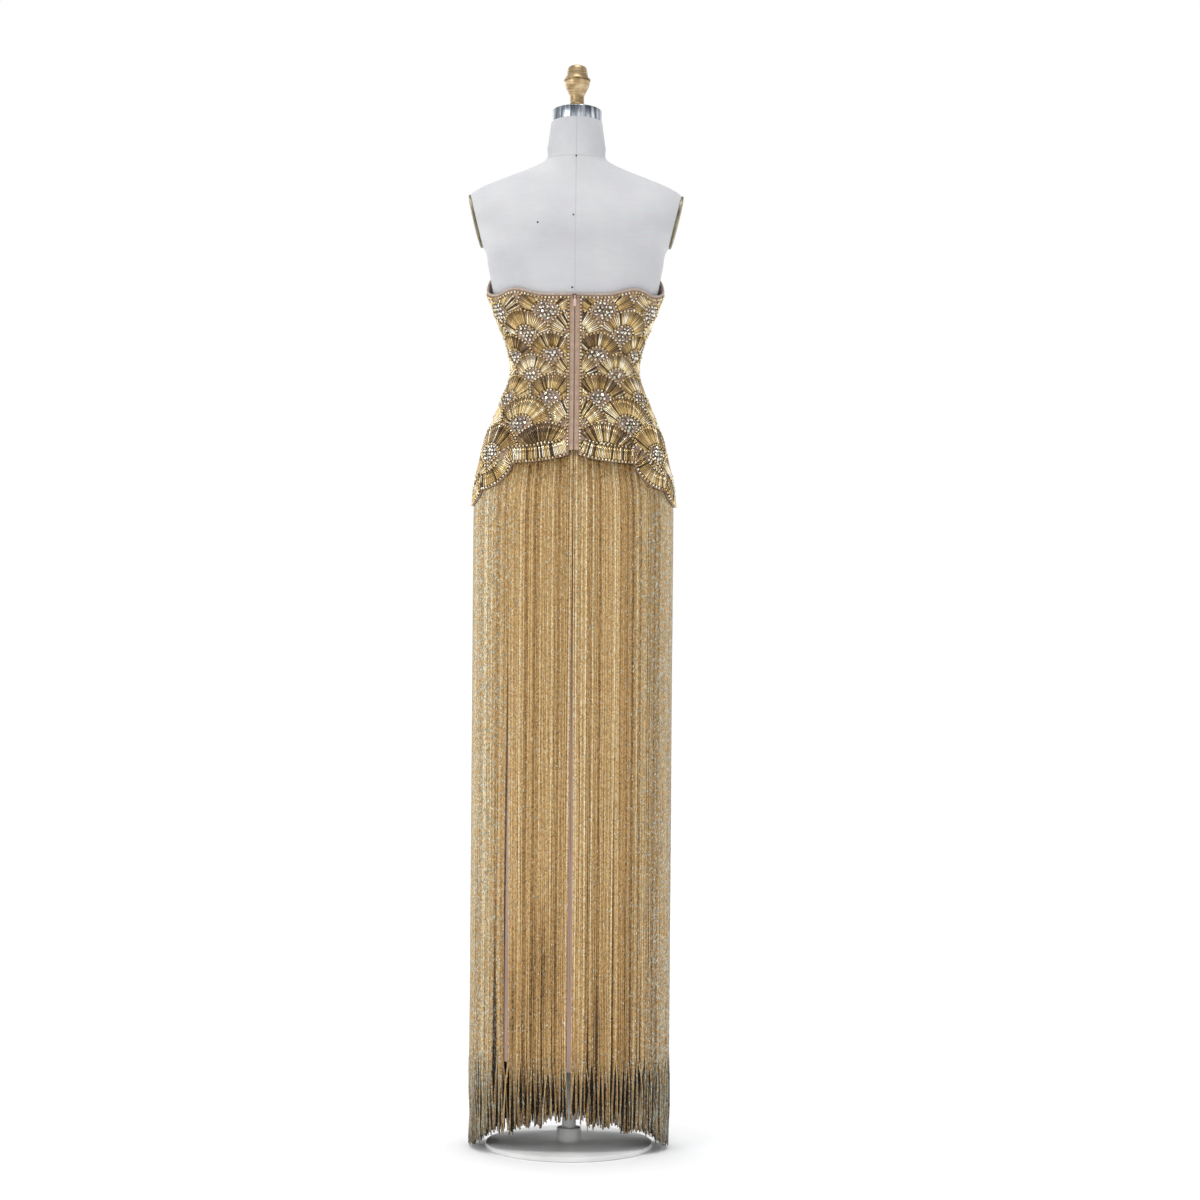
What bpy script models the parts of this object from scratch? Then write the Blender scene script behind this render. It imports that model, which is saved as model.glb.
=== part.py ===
"""Strapless evening gown with a beaded bodice and a long fringed skirt, on a limbless
dress form with a pole and a round base. Metres, +Z up, floor at z = 0.

The zipped back faces -Y, and the wearer's left is at -X. Angles round the figure are in
degrees, from the centre back (0) by the right side (90) to the centre front (180).
"""
import math

import bmesh
import bpy
import numpy as np
from mathutils import Matrix, Vector

# Sections of the dress form's figure: height, half width, middle in y, depth to the back,
# depth to the front, and roundness (2 is an ellipse, and more is squarer).
FIGURE = (
    (1.050, 0.1690, 0.000, 0.1040, 0.0930, 2.20),
    (1.140, 0.1730, 0.000, 0.1065, 0.0950, 2.20),
    (1.177, 0.1700, 0.000, 0.1055, 0.0960, 2.20),
    (1.209, 0.1645, 0.000, 0.1020, 0.0960, 2.20),
    (1.241, 0.1560, 0.000, 0.0965, 0.0945, 2.20),
    (1.273, 0.1480, 0.000, 0.0900, 0.0920, 2.20),
    (1.306, 0.1362, 0.000, 0.0845, 0.0885, 2.18),
    (1.338, 0.1270, 0.000, 0.0805, 0.0850, 2.15),
    (1.370, 0.1147, 0.000, 0.0780, 0.0820, 2.12),
    (1.390, 0.1108, 0.000, 0.0775, 0.0812, 2.10),
    (1.410, 0.1123, 0.000, 0.0780, 0.0825, 2.10),
    (1.434, 0.1168, 0.000, 0.0790, 0.0860, 2.12),
    (1.466, 0.1282, 0.000, 0.0815, 0.0920, 2.15),
    (1.498, 0.1395, 0.000, 0.0845, 0.0965, 2.20),
    (1.540, 0.1490, 0.000, 0.0880, 0.0975, 2.20),
    (1.580, 0.1570, 0.000, 0.0910, 0.0930, 2.20),
    (1.613, 0.1645, 0.000, 0.0920, 0.0865, 2.20),
    (1.645, 0.1960, 0.000, 0.0900, 0.0780, 2.20),
    (1.680, 0.2110, 0.000, 0.0800, 0.0660, 2.20),
    (1.703, 0.1980, 0.000, 0.0700, 0.0580, 2.20),
    (1.723, 0.1720, 0.001, 0.0610, 0.0530, 2.15),
    (1.742, 0.1265, 0.002, 0.0560, 0.0520, 2.10),
    (1.757, 0.0880, 0.004, 0.0540, 0.0520, 2.05),
    (1.772, 0.0580, 0.006, 0.0530, 0.0515, 2.00),
    (1.798, 0.0525, 0.009, 0.0505, 0.0500, 2.00),
    (1.840, 0.0465, 0.013, 0.0465, 0.0465, 2.00),
    (1.880, 0.0420, 0.016, 0.0430, 0.0430, 2.00),
)

# Room between the figure and the outer face of the gown: height, at the sides, at the
# back, at the front.
EASE = (
    (1.050, 0.0095, 0.0095, 0.0095),
    (1.240, 0.0095, 0.0095, 0.0095),
    (1.285, 0.0095, 0.0095, 0.0095),
    (1.315, 0.0075, 0.0075, 0.0075),
    (1.350, 0.0040, 0.0040, 0.0040),
    (1.390, 0.0032, 0.0032, 0.0032),
    (1.460, 0.0036, 0.0034, 0.0036),
    (1.500, 0.0055, 0.0044, 0.0048),
    (1.540, 0.0105, 0.0048, 0.0052),
    (1.600, 0.0125, 0.0050, 0.0055),
)

# Top edge of the gown: angle, height.
NECKLINE = (
    (0.0, 1.5260),
    (22.0, 1.5270),
    (41.0, 1.5370),
    (62.0, 1.5280),
    (80.0, 1.5320),
    (95.0, 1.5410),
    (112.0, 1.5630),
    (130.0, 1.5800),
    (148.0, 1.5850),
    (166.0, 1.5730),
    (180.0, 1.5600),
)

# Scallops of the bodice's lower edge, which the front repeats in mirror image: first
# angle, last angle, height at the first, height at the last.
SCALLOPS = (
    (0.0, 37.5, 1.2470, 1.2245),
    (37.5, 65.0, 1.2245, 1.1780),
    (65.0, 90.0, 1.1780, 1.1500),
)

# Where the fringe is sewn on, under the scallops, and how low it hangs: angle, height.
FRINGE_ROOT = ((0, 1.256), (20, 1.247), (37.5, 1.236), (50, 1.214), (65, 1.192), (90, 1.165))
FRINGE_END = (
    (0, 0.0740),
    (12, 0.0600),
    (22, 0.0560),
    (36, 0.0450),
    (52, 0.0400),
    (62, 0.0240),
    (74, 0.0130),
    (90, 0.0110),
    (118, 0.0150),
    (140, 0.0300),
    (180, 0.0500),
)
UNDERSKIRT_HEM = ((0, 0.150), (44, 0.166), (90, 0.160), (180, 0.156))

# Cloth and seams
SEAM_GAP = 0.0003
SIDE_SEAM_ANGLE = 0.07
WALL = 0.0020
BODICE_ROWS = 12
LARGEST_STEP = 7.5
HIP_HEIGHT = 1.140
CUP_SEAM = 142.5
CUP_SEAM_ANGLE = 0.1
ZIP_EDGE_ANGLE = 2.7
CENTRE_BACK_ANGLE = 1.0
CUSP_STEP = 1.0

# Cups: the swell of the gown's front and of the form under it
CUP_ANGLE = 143.0
CUP_ANGLE_SPREAD = 20.0
CUP_HEIGHT = 1.507
CUP_HEIGHT_SPREAD = 0.044
CUP_SWELL = 0.027
FORM_CUP_SWELL = 0.022

# Underskirt, inside the bodice's lower part, and falling straight below the hips
UNDERSKIRT_INSET = 0.0063
UNDERSKIRT_WALL = 0.0012
UNDERSKIRT_LEVELS = (1.275, 1.240, 1.205, 1.172, 1.140, 0.800, 0.450)
UNDERSKIRT_STEP = 9.0

# Fringe: strands hanging from a narrow strip between the bodice and the underskirt
FRINGE_INSET = 0.0031
STRAND_DEPTH = 0.0022
STRAND_WIDTH = 0.0034
STRAND_PITCH = 0.0056
STRIP_HEIGHT = 0.006
FRINGE_SLIT = 0.0028
FRINGE_HIP = 1.130
LOWEST_END = 0.004
LENGTH_WAVES = ((0.0050, 2.37), (0.0035, 5.11), (0.0020, 0.83))

# Neckline piping
PIPING_RADIUS = 0.0023
PIPING_INSET = 0.0010
PIPING_END = 0.0048

# Zip
TAPE_HALF_WIDTH = 0.0088
TAPE_WALL = 0.0014
TAPE_COLUMNS = ((0.0088, 0.0000), (0.0048, 0.0000), (0.0014, -0.0007), (0.0003, -0.0005))
TAPE_ROWS = 12
SLIDER_SIZE = (0.0064, 0.0024, 0.0105)
SLIDER_HEIGHT = 1.5190
SLIDER_TILT = math.radians(5.0)
SLIDER_BEVEL = 0.0005
PIN_RADIUS = 0.00075
PIN_SIDES = 12
PIN_OFF_FACE = 0.0026
LUG_GAP = 0.0032
LUG_THICKNESS = 0.0009
LUG_HEIGHT = 0.0036
EYE_RADIUS = 0.0019
EYE_BORE = 0.00115
EYE_LENGTH = 0.0022
EYE_SIDES = 16
PULL_LENGTH = 0.0170
PULL_WIDTH = 0.0046
PULL_THICKNESS = 0.0012
PULL_BEVEL = 0.0003
PULL_NECK = 0.0036
PULL_NECK_SIZE = (0.0020, 0.00096)
PULL_NECK_OVERLAP = 0.001

# Dress form
FORM_SIDES = 36
FORM_BOTTOM = 1.050
CUP_LEVELS = [1.482, 1.518, 1.560]
FORM_LEVELS = tuple(sorted([row[0] for row in FIGURE] + CUP_LEVELS))
ARM_TOP = Vector((0.189, 0.0, 1.708))
ARM_LEAN = math.radians(13.6)
ARM_CUT_FLOOR = 1.600
ARM_PLATE_EDGE = 0.0028
ARM_PLATE_DOME = 0.0052
ARM_PLATE_TOP = 0.72
NECK_TOP = Vector((0.0, 0.0135, 1.8425))
NECK_TILT = math.radians(8.0)
CAP_RADIUS = 0.0447
CAP_HEIGHT = 0.0225
CAP_BEVEL = 0.0012
CAP_SIDES = 40

# Turned finial: radius, height above the neck cap
FINIAL = (
    (0.0152, 0.0000),
    (0.0152, 0.0112),
    (0.0131, 0.0132),
    (0.0129, 0.0280),
    (0.0180, 0.0395),
    (0.0222, 0.0490),
    (0.0230, 0.0552),
    (0.0241, 0.0562),
    (0.0241, 0.0590),
    (0.0206, 0.0608),
    (0.0186, 0.0700),
    (0.0178, 0.0775),
    (0.0140, 0.0828),
    (0.0070, 0.0846),
)
FINIAL_SIDES = 24

# Stand: radius, height of the turned base
BASE = (
    (0.1500, 0.0000),
    (0.1500, 0.0065),
    (0.1475, 0.0090),
    (0.0320, 0.0100),
    (0.0240, 0.0140),
    (0.0215, 0.0340),
)
BASE_SIDES = 48
POLE_RADIUS = 0.0125
POLE_SIDES = 20

# Materials: base colour, roughness, metallic
MATERIALS = {
    "beaded_gold": ((0.48, 0.33, 0.13, 1.0), 0.35, 0.6),
    "piping_nude": ((0.55, 0.37, 0.30, 1.0), 0.75, 0.0),
    "zip_tape": ((0.44, 0.30, 0.27, 1.0), 0.80, 0.0),
    "zip_metal": ((0.62, 0.47, 0.30, 1.0), 0.35, 0.9),
    "zip_pull": ((0.66, 0.48, 0.42, 1.0), 0.45, 0.2),
    "underskirt_mauve": ((0.50, 0.33, 0.30, 1.0), 0.80, 0.0),
    "fringe_gold": ((0.58, 0.41, 0.20, 1.0), 0.40, 0.4),
    "form_linen": ((0.70, 0.70, 0.72, 1.0), 0.90, 0.0),
    "arm_plate": ((0.24, 0.23, 0.17, 1.0), 0.50, 0.5),
    "neck_steel": ((0.45, 0.48, 0.52, 1.0), 0.30, 1.0),
    "finial_brass": ((0.60, 0.38, 0.15, 1.0), 0.40, 0.8),
    "stand_paint": ((0.82, 0.82, 0.82, 1.0), 0.45, 0.0),
}


def material(name):
    """The named material, made the first time that it is asked for."""
    if name in bpy.data.materials:
        return bpy.data.materials[name]
    colour, roughness, metallic = MATERIALS[name]
    made = bpy.data.materials.new(name)
    made.use_nodes = True
    shader = made.node_tree.nodes["Principled BSDF"]
    shader.inputs["Base Color"].default_value = colour
    shader.inputs["Roughness"].default_value = roughness
    shader.inputs["Metallic"].default_value = metallic
    return made


def add_object(name, data, material_name):
    """Link mesh or curve data to the scene as one named sub-part."""
    data.materials.append(material(material_name))
    made = bpy.data.objects.new(name, data)
    bpy.context.scene.collection.objects.link(made)
    return made


def finish_mesh(bm, name, material_name, smooth=True):
    """Turn a closed bmesh into an object with its faces pointing out."""
    bmesh.ops.recalc_face_normals(bm, faces=bm.faces)
    mesh = bpy.data.meshes.new(name)
    bm.to_mesh(mesh)
    bm.free()
    if smooth:
        mesh.shade_smooth()
        mesh.set_sharp_from_angle(angle=math.radians(40))
    return add_object(name, mesh, material_name)


def read_table(rows, place):
    """The columns of a table at a height or an angle, on a smooth curve through its rows."""
    table = np.array(rows)
    places = table[:, 0]
    values = table[:, 1:]
    slopes = np.gradient(values, places, axis=0)
    place = min(max(place, places[0]), places[-1])
    i = min(int(np.searchsorted(places, place, side="right")) - 1, len(places) - 2)
    step = places[i + 1] - places[i]
    t = (place - places[i]) / step
    start = (1 + 2 * t) * (1 - t) ** 2 * values[i] + t * (1 - t) ** 2 * step * slopes[i]
    end = t * t * (3 - 2 * t) * values[i + 1] - t * t * (1 - t) * step * slopes[i + 1]
    return start + end


def height_at(rows, angle):
    """The height in a table of angles, which both sides of the figure share."""
    return float(read_table(rows, abs(angle))[0])


def lower_edge(angle):
    """Height of the bodice's scalloped lower edge: each scallop drops steeply, then levels."""
    folded = min(abs(angle), 180 - abs(angle))
    for first, last, start, end in SCALLOPS:
        if folded <= last:
            rest = 1 - (folded - first) / (last - first)
            return end + (start - end) * (1 - math.sqrt(1 - rest * rest))
    return SCALLOPS[-1][3]


def section_point(half_width, back, front, roundness, angle):
    """A point of a rounded section, before its middle is moved."""
    across = math.sin(math.radians(angle))
    along = math.cos(math.radians(angle))
    x = half_width * math.copysign(abs(across) ** (2 / roundness), across)
    depth = back if along > 0 else front
    return Vector((x, -depth * math.copysign(abs(along) ** (2 / roundness), along), 0))


def cup_share(angle, height):
    """How far up a cup a point lies, from 0 away from the cups to 1 at a cup's peak."""
    sideways = (abs(angle) - CUP_ANGLE) / CUP_ANGLE_SPREAD
    upward = (height - CUP_HEIGHT) / CUP_HEIGHT_SPREAD
    return math.exp(-sideways * sideways - upward * upward)


def figure_point(angle, height):
    """A point of the dress form's surface."""
    half_width, middle, back, front, roundness = read_table(FIGURE, height)
    point = section_point(half_width, back, front, roundness, angle)
    point += point.normalized() * FORM_CUP_SWELL * cup_share(angle, height)
    return point + Vector((0, middle, height))


def gown_sizes(height, inset):
    """Half width, depths and roundness of the gown, which falls straight below the hips."""
    level = max(height, HIP_HEIGHT)
    half_width, _, back, front, roundness = read_table(FIGURE, level)
    side_ease, back_ease, front_ease = read_table(EASE, level)
    return (
        half_width + side_ease - inset,
        back + back_ease - inset,
        front + front_ease - inset,
        roundness,
    )


def gown_point(angle, height, inset=0.0):
    """A point of the gown's outer face, or of a layer that lies inset behind it."""
    point = section_point(*gown_sizes(height, inset), angle)
    point += point.normalized() * CUP_SWELL * cup_share(angle, height)
    point.z = height
    return point


def angle_at_x(x, height, inset=0.0):
    """The angle at which the back of a layer is x from the centre back."""
    half_width, _, _, roundness = gown_sizes(height, inset)
    return math.degrees(math.asin((x / half_width) ** (roundness / 2)))


def spaced_angles(marks, step):
    """Angles from mark to mark, no further apart than step."""
    angles = [marks[0]]
    for first, last in zip(marks, marks[1:]):
        count = math.ceil((last - first) / step)
        angles.extend(np.linspace(first, last, count + 1)[1:].tolist())
    return angles


def cloth_wall(columns, rows, place):
    """A closed wall of cloth. place(column, row, skin) is a corner, skin 0 the outer face."""
    bm = bmesh.new()
    skin = bm.verts.layers.int.new("skin")
    to_columns = Matrix.Diagonal((columns - 1, rows - 1, 1, 1)) @ Matrix.Translation((0.5, 0.5, 0))
    bmesh.ops.create_grid(
        bm, x_segments=columns - 1, y_segments=rows - 1, size=0.5, matrix=to_columns
    )
    outer = list(bm.verts) + list(bm.edges) + list(bm.faces)
    inner = bmesh.ops.extrude_face_region(bm, geom=outer, use_keep_orig=True)["geom"]
    for corner in inner:
        if isinstance(corner, bmesh.types.BMVert):
            corner[skin] = 1
    for corner in bm.verts:
        corner.co = place(round(corner.co.x), round(corner.co.y), corner[skin])
    return bm


def bodice_panel(name, marks, side, at_zip=False):
    """One cut piece of the bodice, from the neckline down to the scallops."""
    angles = spaced_angles(marks, LARGEST_STEP)
    zip_edge = TAPE_HALF_WIDTH + SEAM_GAP

    def place(column, row, skin):
        nominal = angles[column]
        top = height_at(NECKLINE, nominal) - 2 * PIPING_RADIUS - 2 * SEAM_GAP
        height = top + (lower_edge(nominal) - top) * row / (BODICE_ROWS - 1)
        inset = WALL * skin
        angle = angle_at_x(zip_edge, height, inset) if at_zip and column == 0 else nominal
        return gown_point(side * angle, height, inset)

    return finish_mesh(cloth_wall(len(angles), BODICE_ROWS, place), name, "beaded_gold")


def bodice():
    """Two back panels, two side-front panels and one centre-front panel."""
    first, second = SCALLOPS[0][1], SCALLOPS[1][1]
    back_marks = (ZIP_EDGE_ANGLE, first, first + CUSP_STEP, second, second + CUSP_STEP, 90 - SIDE_SEAM_ANGLE)
    front_cusp = 180 - second
    side_marks = (90 + SIDE_SEAM_ANGLE, front_cusp - CUSP_STEP, front_cusp, CUP_SEAM - CUP_SEAM_ANGLE)
    centre_edge = 180 - CUP_SEAM - CUP_SEAM_ANGLE
    for side, word in ((-1, "left"), (1, "right")):
        bodice_panel(f"bodice_back_{word}", back_marks, side, at_zip=True)
        bodice_panel(f"bodice_side_front_{word}", side_marks, side)

    angles = [180 + mark for mark in spaced_angles((-centre_edge, 0, centre_edge), LARGEST_STEP)]

    def place(column, row, skin):
        angle = angles[column] if angles[column] <= 180 else angles[column] - 360
        top = height_at(NECKLINE, angle) - 2 * PIPING_RADIUS - 2 * SEAM_GAP
        height = top + (lower_edge(angle) - top) * row / (BODICE_ROWS - 1)
        return gown_point(angle, height, WALL * skin)

    finish_mesh(cloth_wall(len(angles), BODICE_ROWS, place), "bodice_centre_front", "beaded_gold")


def neckline_piping():
    """A round piping along the top edge, open at the zip."""
    end = angle_at_x(PIPING_END, NECKLINE[0][1])
    half = spaced_angles((end, 180), LARGEST_STEP)
    angles = half + [-angle for angle in reversed(half[:-1])]
    curve = bpy.data.curves.new("neckline_piping", "CURVE")
    curve.dimensions = "3D"
    curve.bevel_depth = PIPING_RADIUS
    curve.bevel_resolution = 1
    curve.use_fill_caps = True
    spline = curve.splines.new("POLY")
    spline.points.add(len(angles) - 1)
    for point, angle in zip(spline.points, angles):
        height = height_at(NECKLINE, angle) - PIPING_RADIUS
        point.co = (*gown_point(angle, height, PIPING_INSET), 1)
    add_object("neckline_piping", curve, "piping_nude")


def underskirt():
    """Two back pieces and one front piece, straight from the hips to the hem."""
    levels = len(UNDERSKIRT_LEVELS) + 1
    back = spaced_angles((CENTRE_BACK_ANGLE, 90 - SIDE_SEAM_ANGLE), UNDERSKIRT_STEP)
    front = spaced_angles((90 + SIDE_SEAM_ANGLE, 270 - SIDE_SEAM_ANGLE), UNDERSKIRT_STEP)

    def piece(name, angles, side, at_centre_back):
        def place(column, row, skin):
            nominal = angles[column] if angles[column] <= 180 else angles[column] - 360
            last = row == levels - 1
            height = height_at(UNDERSKIRT_HEM, nominal) if last else UNDERSKIRT_LEVELS[row]
            inset = UNDERSKIRT_INSET + UNDERSKIRT_WALL * skin
            at_seam = at_centre_back and column == 0
            angle = angle_at_x(SEAM_GAP, height, inset) if at_seam else nominal
            return gown_point(side * angle, height, inset)

        finish_mesh(cloth_wall(len(angles), levels, place), name, "underskirt_mauve")

    piece("underskirt_back_left", back, -1, True)
    piece("underskirt_back_right", back, 1, True)
    piece("underskirt_front", front, 1, False)


def hip_girth_angles():
    """Angles and the girth from the centre back to each, measured round the fringe."""
    angles = np.linspace(0, 180, 721)
    points = np.array([gown_point(a, HIP_HEIGHT, FRINGE_INSET) for a in angles])
    steps = np.linalg.norm(np.diff(points, axis=0), axis=1)
    return angles, np.concatenate(((0.0,), np.cumsum(steps)))


def fringe(name, girth_from, girth_to, side):
    """A strip of root stitching with strands hanging from it, between two girths."""
    table_angles, table_girths = hip_girth_angles()
    half_girth = float(table_girths[-1])
    strands = int((girth_to - girth_from + STRAND_PITCH - STRAND_WIDTH) / STRAND_PITCH)
    spare = (girth_to - girth_from) - (strands * STRAND_PITCH - (STRAND_PITCH - STRAND_WIDTH))
    starts = [girth_from + spare / 2 + i * STRAND_PITCH for i in range(strands)]
    edges = [girth for start in starts for girth in (start, start + STRAND_WIDTH)]

    def angle_of(column):
        past = edges[column] - half_girth
        angle = float(np.interp(half_girth - abs(past), table_girths, table_angles))
        return side * (angle if past <= 0 else -angle)

    def place(column, row, skin):
        angle = angle_of(column)
        folded = min(abs(angle), 180 - abs(angle))
        height = height_at(FRINGE_ROOT, folded) + (STRIP_HEIGHT if row == 0 else 0)
        return gown_point(angle, height, FRINGE_INSET + STRAND_DEPTH * skin)

    bm = bmesh.new()
    column_of = bm.verts.layers.int.new("column")
    skin_of = bm.verts.layers.int.new("skin")
    columns = len(edges)
    to_columns = Matrix.Diagonal((columns - 1, 1, 1, 1)) @ Matrix.Translation((0.5, 0.5, 0))
    bmesh.ops.create_grid(bm, x_segments=columns - 1, y_segments=1, size=0.5, matrix=to_columns)
    for corner in bm.verts:
        corner[column_of] = round(corner.co.x)
    outer = list(bm.verts) + list(bm.edges) + list(bm.faces)
    inner = bmesh.ops.extrude_face_region(bm, geom=outer, use_keep_orig=True)["geom"]
    for corner in inner:
        if isinstance(corner, bmesh.types.BMVert):
            corner[skin_of] = 1
    roots = [
        face
        for face in bm.faces
        if all(round(corner.co.y) == 1 for corner in face.verts)
        and min(corner[column_of] for corner in face.verts) % 2 == 0
    ]
    for corner in bm.verts:
        corner.co = place(corner[column_of], round(corner.co.y), corner[skin_of])

    def strand_height(column, level):
        angle = angle_of(2 * (column // 2))
        folded = min(abs(angle), 180 - abs(angle))
        root = height_at(FRINGE_ROOT, folded)
        waves = sum(size * math.sin(rate * (column // 2) + side) for size, rate in LENGTH_WAVES)
        end = max(height_at(FRINGE_END, angle) + waves, LOWEST_END)
        return ((root + FRINGE_HIP) / 2, FRINGE_HIP, end)[level]

    for level in range(3):
        roots = bmesh.ops.extrude_discrete_faces(bm, faces=roots)["faces"]
        for face in roots:
            for corner in face.verts:
                column = corner[column_of]
                inset = FRINGE_INSET + STRAND_DEPTH * corner[skin_of]
                height = strand_height(column, level)
                corner.co = gown_point(angle_of(column), height, inset)
    return finish_mesh(bm, name, "fringe_gold", smooth=False)


def skirt_fringe():
    """Fringe of the left back, the right back and the whole front."""
    table_angles, table_girths = hip_girth_angles()
    at_side = float(np.interp(90, table_angles, table_girths))
    full = 2 * float(table_girths[-1])
    room = (STRAND_PITCH - STRAND_WIDTH) / 2
    fringe("fringe_back_left", FRINGE_SLIT, at_side - room, -1)
    fringe("fringe_back_right", FRINGE_SLIT, at_side - room, 1)
    fringe("fringe_front", at_side + room, full - at_side - room, 1)


def zip_tape(name, side):
    """One tape of the zip, raised to a low ridge where the coils meet."""
    top = NECKLINE[0][1] - 2 * PIPING_RADIUS - 2 * SEAM_GAP
    bottom = SCALLOPS[0][2]

    def place(column, row, skin):
        x, raised = TAPE_COLUMNS[column]
        height = top + (bottom - top) * row / (TAPE_ROWS - 1)
        inset = TAPE_WALL if skin else raised
        return gown_point(side * angle_at_x(x, height, inset), height, inset)

    finish_mesh(cloth_wall(len(TAPE_COLUMNS), TAPE_ROWS, place), name, "zip_tape")


def block(name, size, centre, material_name, bevel=0.0):
    """A box, with its edges rounded if bevel is given."""
    bm = bmesh.new()
    shape = Matrix.Translation(centre) @ Matrix.Diagonal((*size, 1))
    bmesh.ops.create_cube(bm, size=1, matrix=shape)
    if bevel:
        bmesh.ops.bevel(
            bm, geom=bm.edges, offset=bevel, segments=1, profile=0.5, affect="EDGES", material=-1
        )
    return finish_mesh(bm, name, material_name, smooth=False)


def rod(name, radius, length, sides, placing, material_name):
    """A cylinder along its own z, put in place by a matrix."""
    bm = bmesh.new()
    bmesh.ops.create_cone(
        bm,
        cap_ends=True,
        segments=sides,
        radius1=radius,
        radius2=radius,
        depth=length,
        matrix=placing,
    )
    return finish_mesh(bm, name, material_name)


def combine(target, other, operation):
    """Boolean union or difference with a guide, which follows the target and isn't a sub-part."""
    other.parent = target
    other.display_type = "WIRE"
    other.hide_render = True
    change = target.modifiers.new(other.name, "BOOLEAN")
    change.operation = operation
    change.object = other
    change.solver = "EXACT"


def zip_slider_and_pull():
    """The slider at the top of the zip, and its pull, both with their origin on the pin."""
    along_x = Matrix.Rotation(math.pi / 2, 4, "Y")
    width, depth, height = SLIDER_SIZE
    tape_face = gown_point(0, SLIDER_HEIGHT, TAPE_COLUMNS[2][1]).y
    pin_y = tape_face - SEAM_GAP - depth - PIN_OFF_FACE
    body_centre = Vector((0, PIN_OFF_FACE + depth / 2, 0))
    slider = block("zip_slider", (width, depth, height), body_centre, "zip_metal", SLIDER_BEVEL)
    lug_depth = PIN_OFF_FACE + 2 * PIN_RADIUS + depth / 2
    lug_centre_y = PIN_OFF_FACE + depth / 2 - lug_depth / 2
    for side, word in ((-1, "left"), (1, "right")):
        centre = Vector((side * (LUG_GAP + LUG_THICKNESS) / 2, lug_centre_y, 0))
        size = (LUG_THICKNESS, lug_depth, LUG_HEIGHT)
        combine(slider, block(f"guide_lug_{word}", size, centre, "zip_metal"), "UNION")
    pin_length = LUG_GAP + LUG_THICKNESS
    combine(slider, rod("guide_pin", PIN_RADIUS, pin_length, PIN_SIDES, along_x, "zip_metal"), "UNION")
    slider.location = (0, pin_y, SLIDER_HEIGHT)
    slider.rotation_euler = (SLIDER_TILT, 0, 0)

    tab_length = PULL_LENGTH - PULL_NECK
    tab_centre = Vector((0, 0, -PULL_NECK - tab_length / 2))
    tab_size = (PULL_WIDTH, PULL_THICKNESS, tab_length)
    pull = block("zip_pull", tab_size, tab_centre, "zip_pull", PULL_BEVEL)
    neck_top = -(EYE_BORE + EYE_RADIUS) / 2
    neck_length = PULL_NECK + neck_top + PULL_NECK_OVERLAP
    neck_centre = Vector((0, 0, neck_top - neck_length / 2))
    neck = block("guide_neck", (*PULL_NECK_SIZE, neck_length), neck_centre, "zip_pull")
    combine(pull, neck, "UNION")
    combine(pull, rod("guide_eye", EYE_RADIUS, EYE_LENGTH, EYE_SIDES, along_x, "zip_pull"), "UNION")
    bore = rod("guide_bore", EYE_BORE, 2 * EYE_LENGTH, EYE_SIDES, along_x, "zip_pull")
    combine(pull, bore, "DIFFERENCE")
    pull.location = (0, pin_y, SLIDER_HEIGHT)


def cut_flat(bm, point, normal):
    """Cut away what lies beyond a plane above the armholes' lowest point, close the cut,
    and return its corners in order."""
    corners = [v for v in bm.verts if v.co.z > ARM_CUT_FLOOR]
    edges = {e for v in corners for e in v.link_edges if e.other_vert(v).co.z > ARM_CUT_FLOOR}
    faces = {f for e in edges for f in e.link_faces if min(v.co.z for v in f.verts) > ARM_CUT_FLOOR}
    geometry = corners + list(edges) + list(faces)
    cut = bmesh.ops.bisect_plane(
        bm, geom=geometry, dist=1e-7, plane_co=point, plane_no=normal, clear_outer=True
    )["geom_cut"]
    edges = [part for part in cut if isinstance(part, bmesh.types.BMEdge)]
    face = bmesh.ops.contextual_create(bm, geom=edges)["faces"][0]
    return [corner.co.copy() for corner in face.verts]


def dress_form():
    """The padded torso, cut flat at the arms and the neck, with its arm plates."""
    bm = bmesh.new()
    station = bm.verts.layers.int.new("station")
    ring = bmesh.ops.create_circle(bm, segments=FORM_SIDES, radius=1, cap_ends=True)["verts"]
    for i, corner in enumerate(ring):
        corner[station] = i
        corner.co = figure_point(360 * i / FORM_SIDES - 180, FORM_LEVELS[0])
    edges = list(bm.edges)
    for level in FORM_LEVELS[1:]:
        grown = bmesh.ops.extrude_edge_only(bm, edges=edges)["geom"]
        edges = [part for part in grown if isinstance(part, bmesh.types.BMEdge)]
        for corner in grown:
            if isinstance(corner, bmesh.types.BMVert):
                angle = 360 * corner[station] / FORM_SIDES - 180
                corner.co = figure_point(angle, level)
    bmesh.ops.contextual_create(bm, geom=edges)
    neck_up = Vector((0, math.sin(NECK_TILT), math.cos(NECK_TILT)))
    cut_flat(bm, NECK_TOP, neck_up)
    for side, word in ((-1, "left"), (1, "right")):
        outward = Vector((side * math.cos(ARM_LEAN), 0, -math.sin(ARM_LEAN)))
        top = Vector((side * ARM_TOP.x, ARM_TOP.y, ARM_TOP.z))
        arm_plate(f"form_arm_plate_{word}", cut_flat(bm, top, outward), outward)
    finish_mesh(bm, "form_torso", "form_linen")


def arm_plate(name, outline, outward):
    """A low domed plate that covers the flat cut at an arm."""
    middle = sum(outline, Vector()) / len(outline)
    bm = bmesh.new()
    face = bm.faces.new([bm.verts.new(p + outward * SEAM_GAP) for p in outline])
    for share, height in ((1.0, ARM_PLATE_EDGE), (ARM_PLATE_TOP, ARM_PLATE_DOME)):
        grown = bmesh.ops.extrude_discrete_faces(bm, faces=[face])["faces"]
        face = grown[0]
        for corner, flat in zip(face.verts, outline):
            corner.co = middle + (flat - middle) * share + outward * height
    bmesh.ops.contextual_create(bm, geom=[edge for edge in bm.edges if edge.is_boundary])
    finish_mesh(bm, name, "arm_plate")


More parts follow.
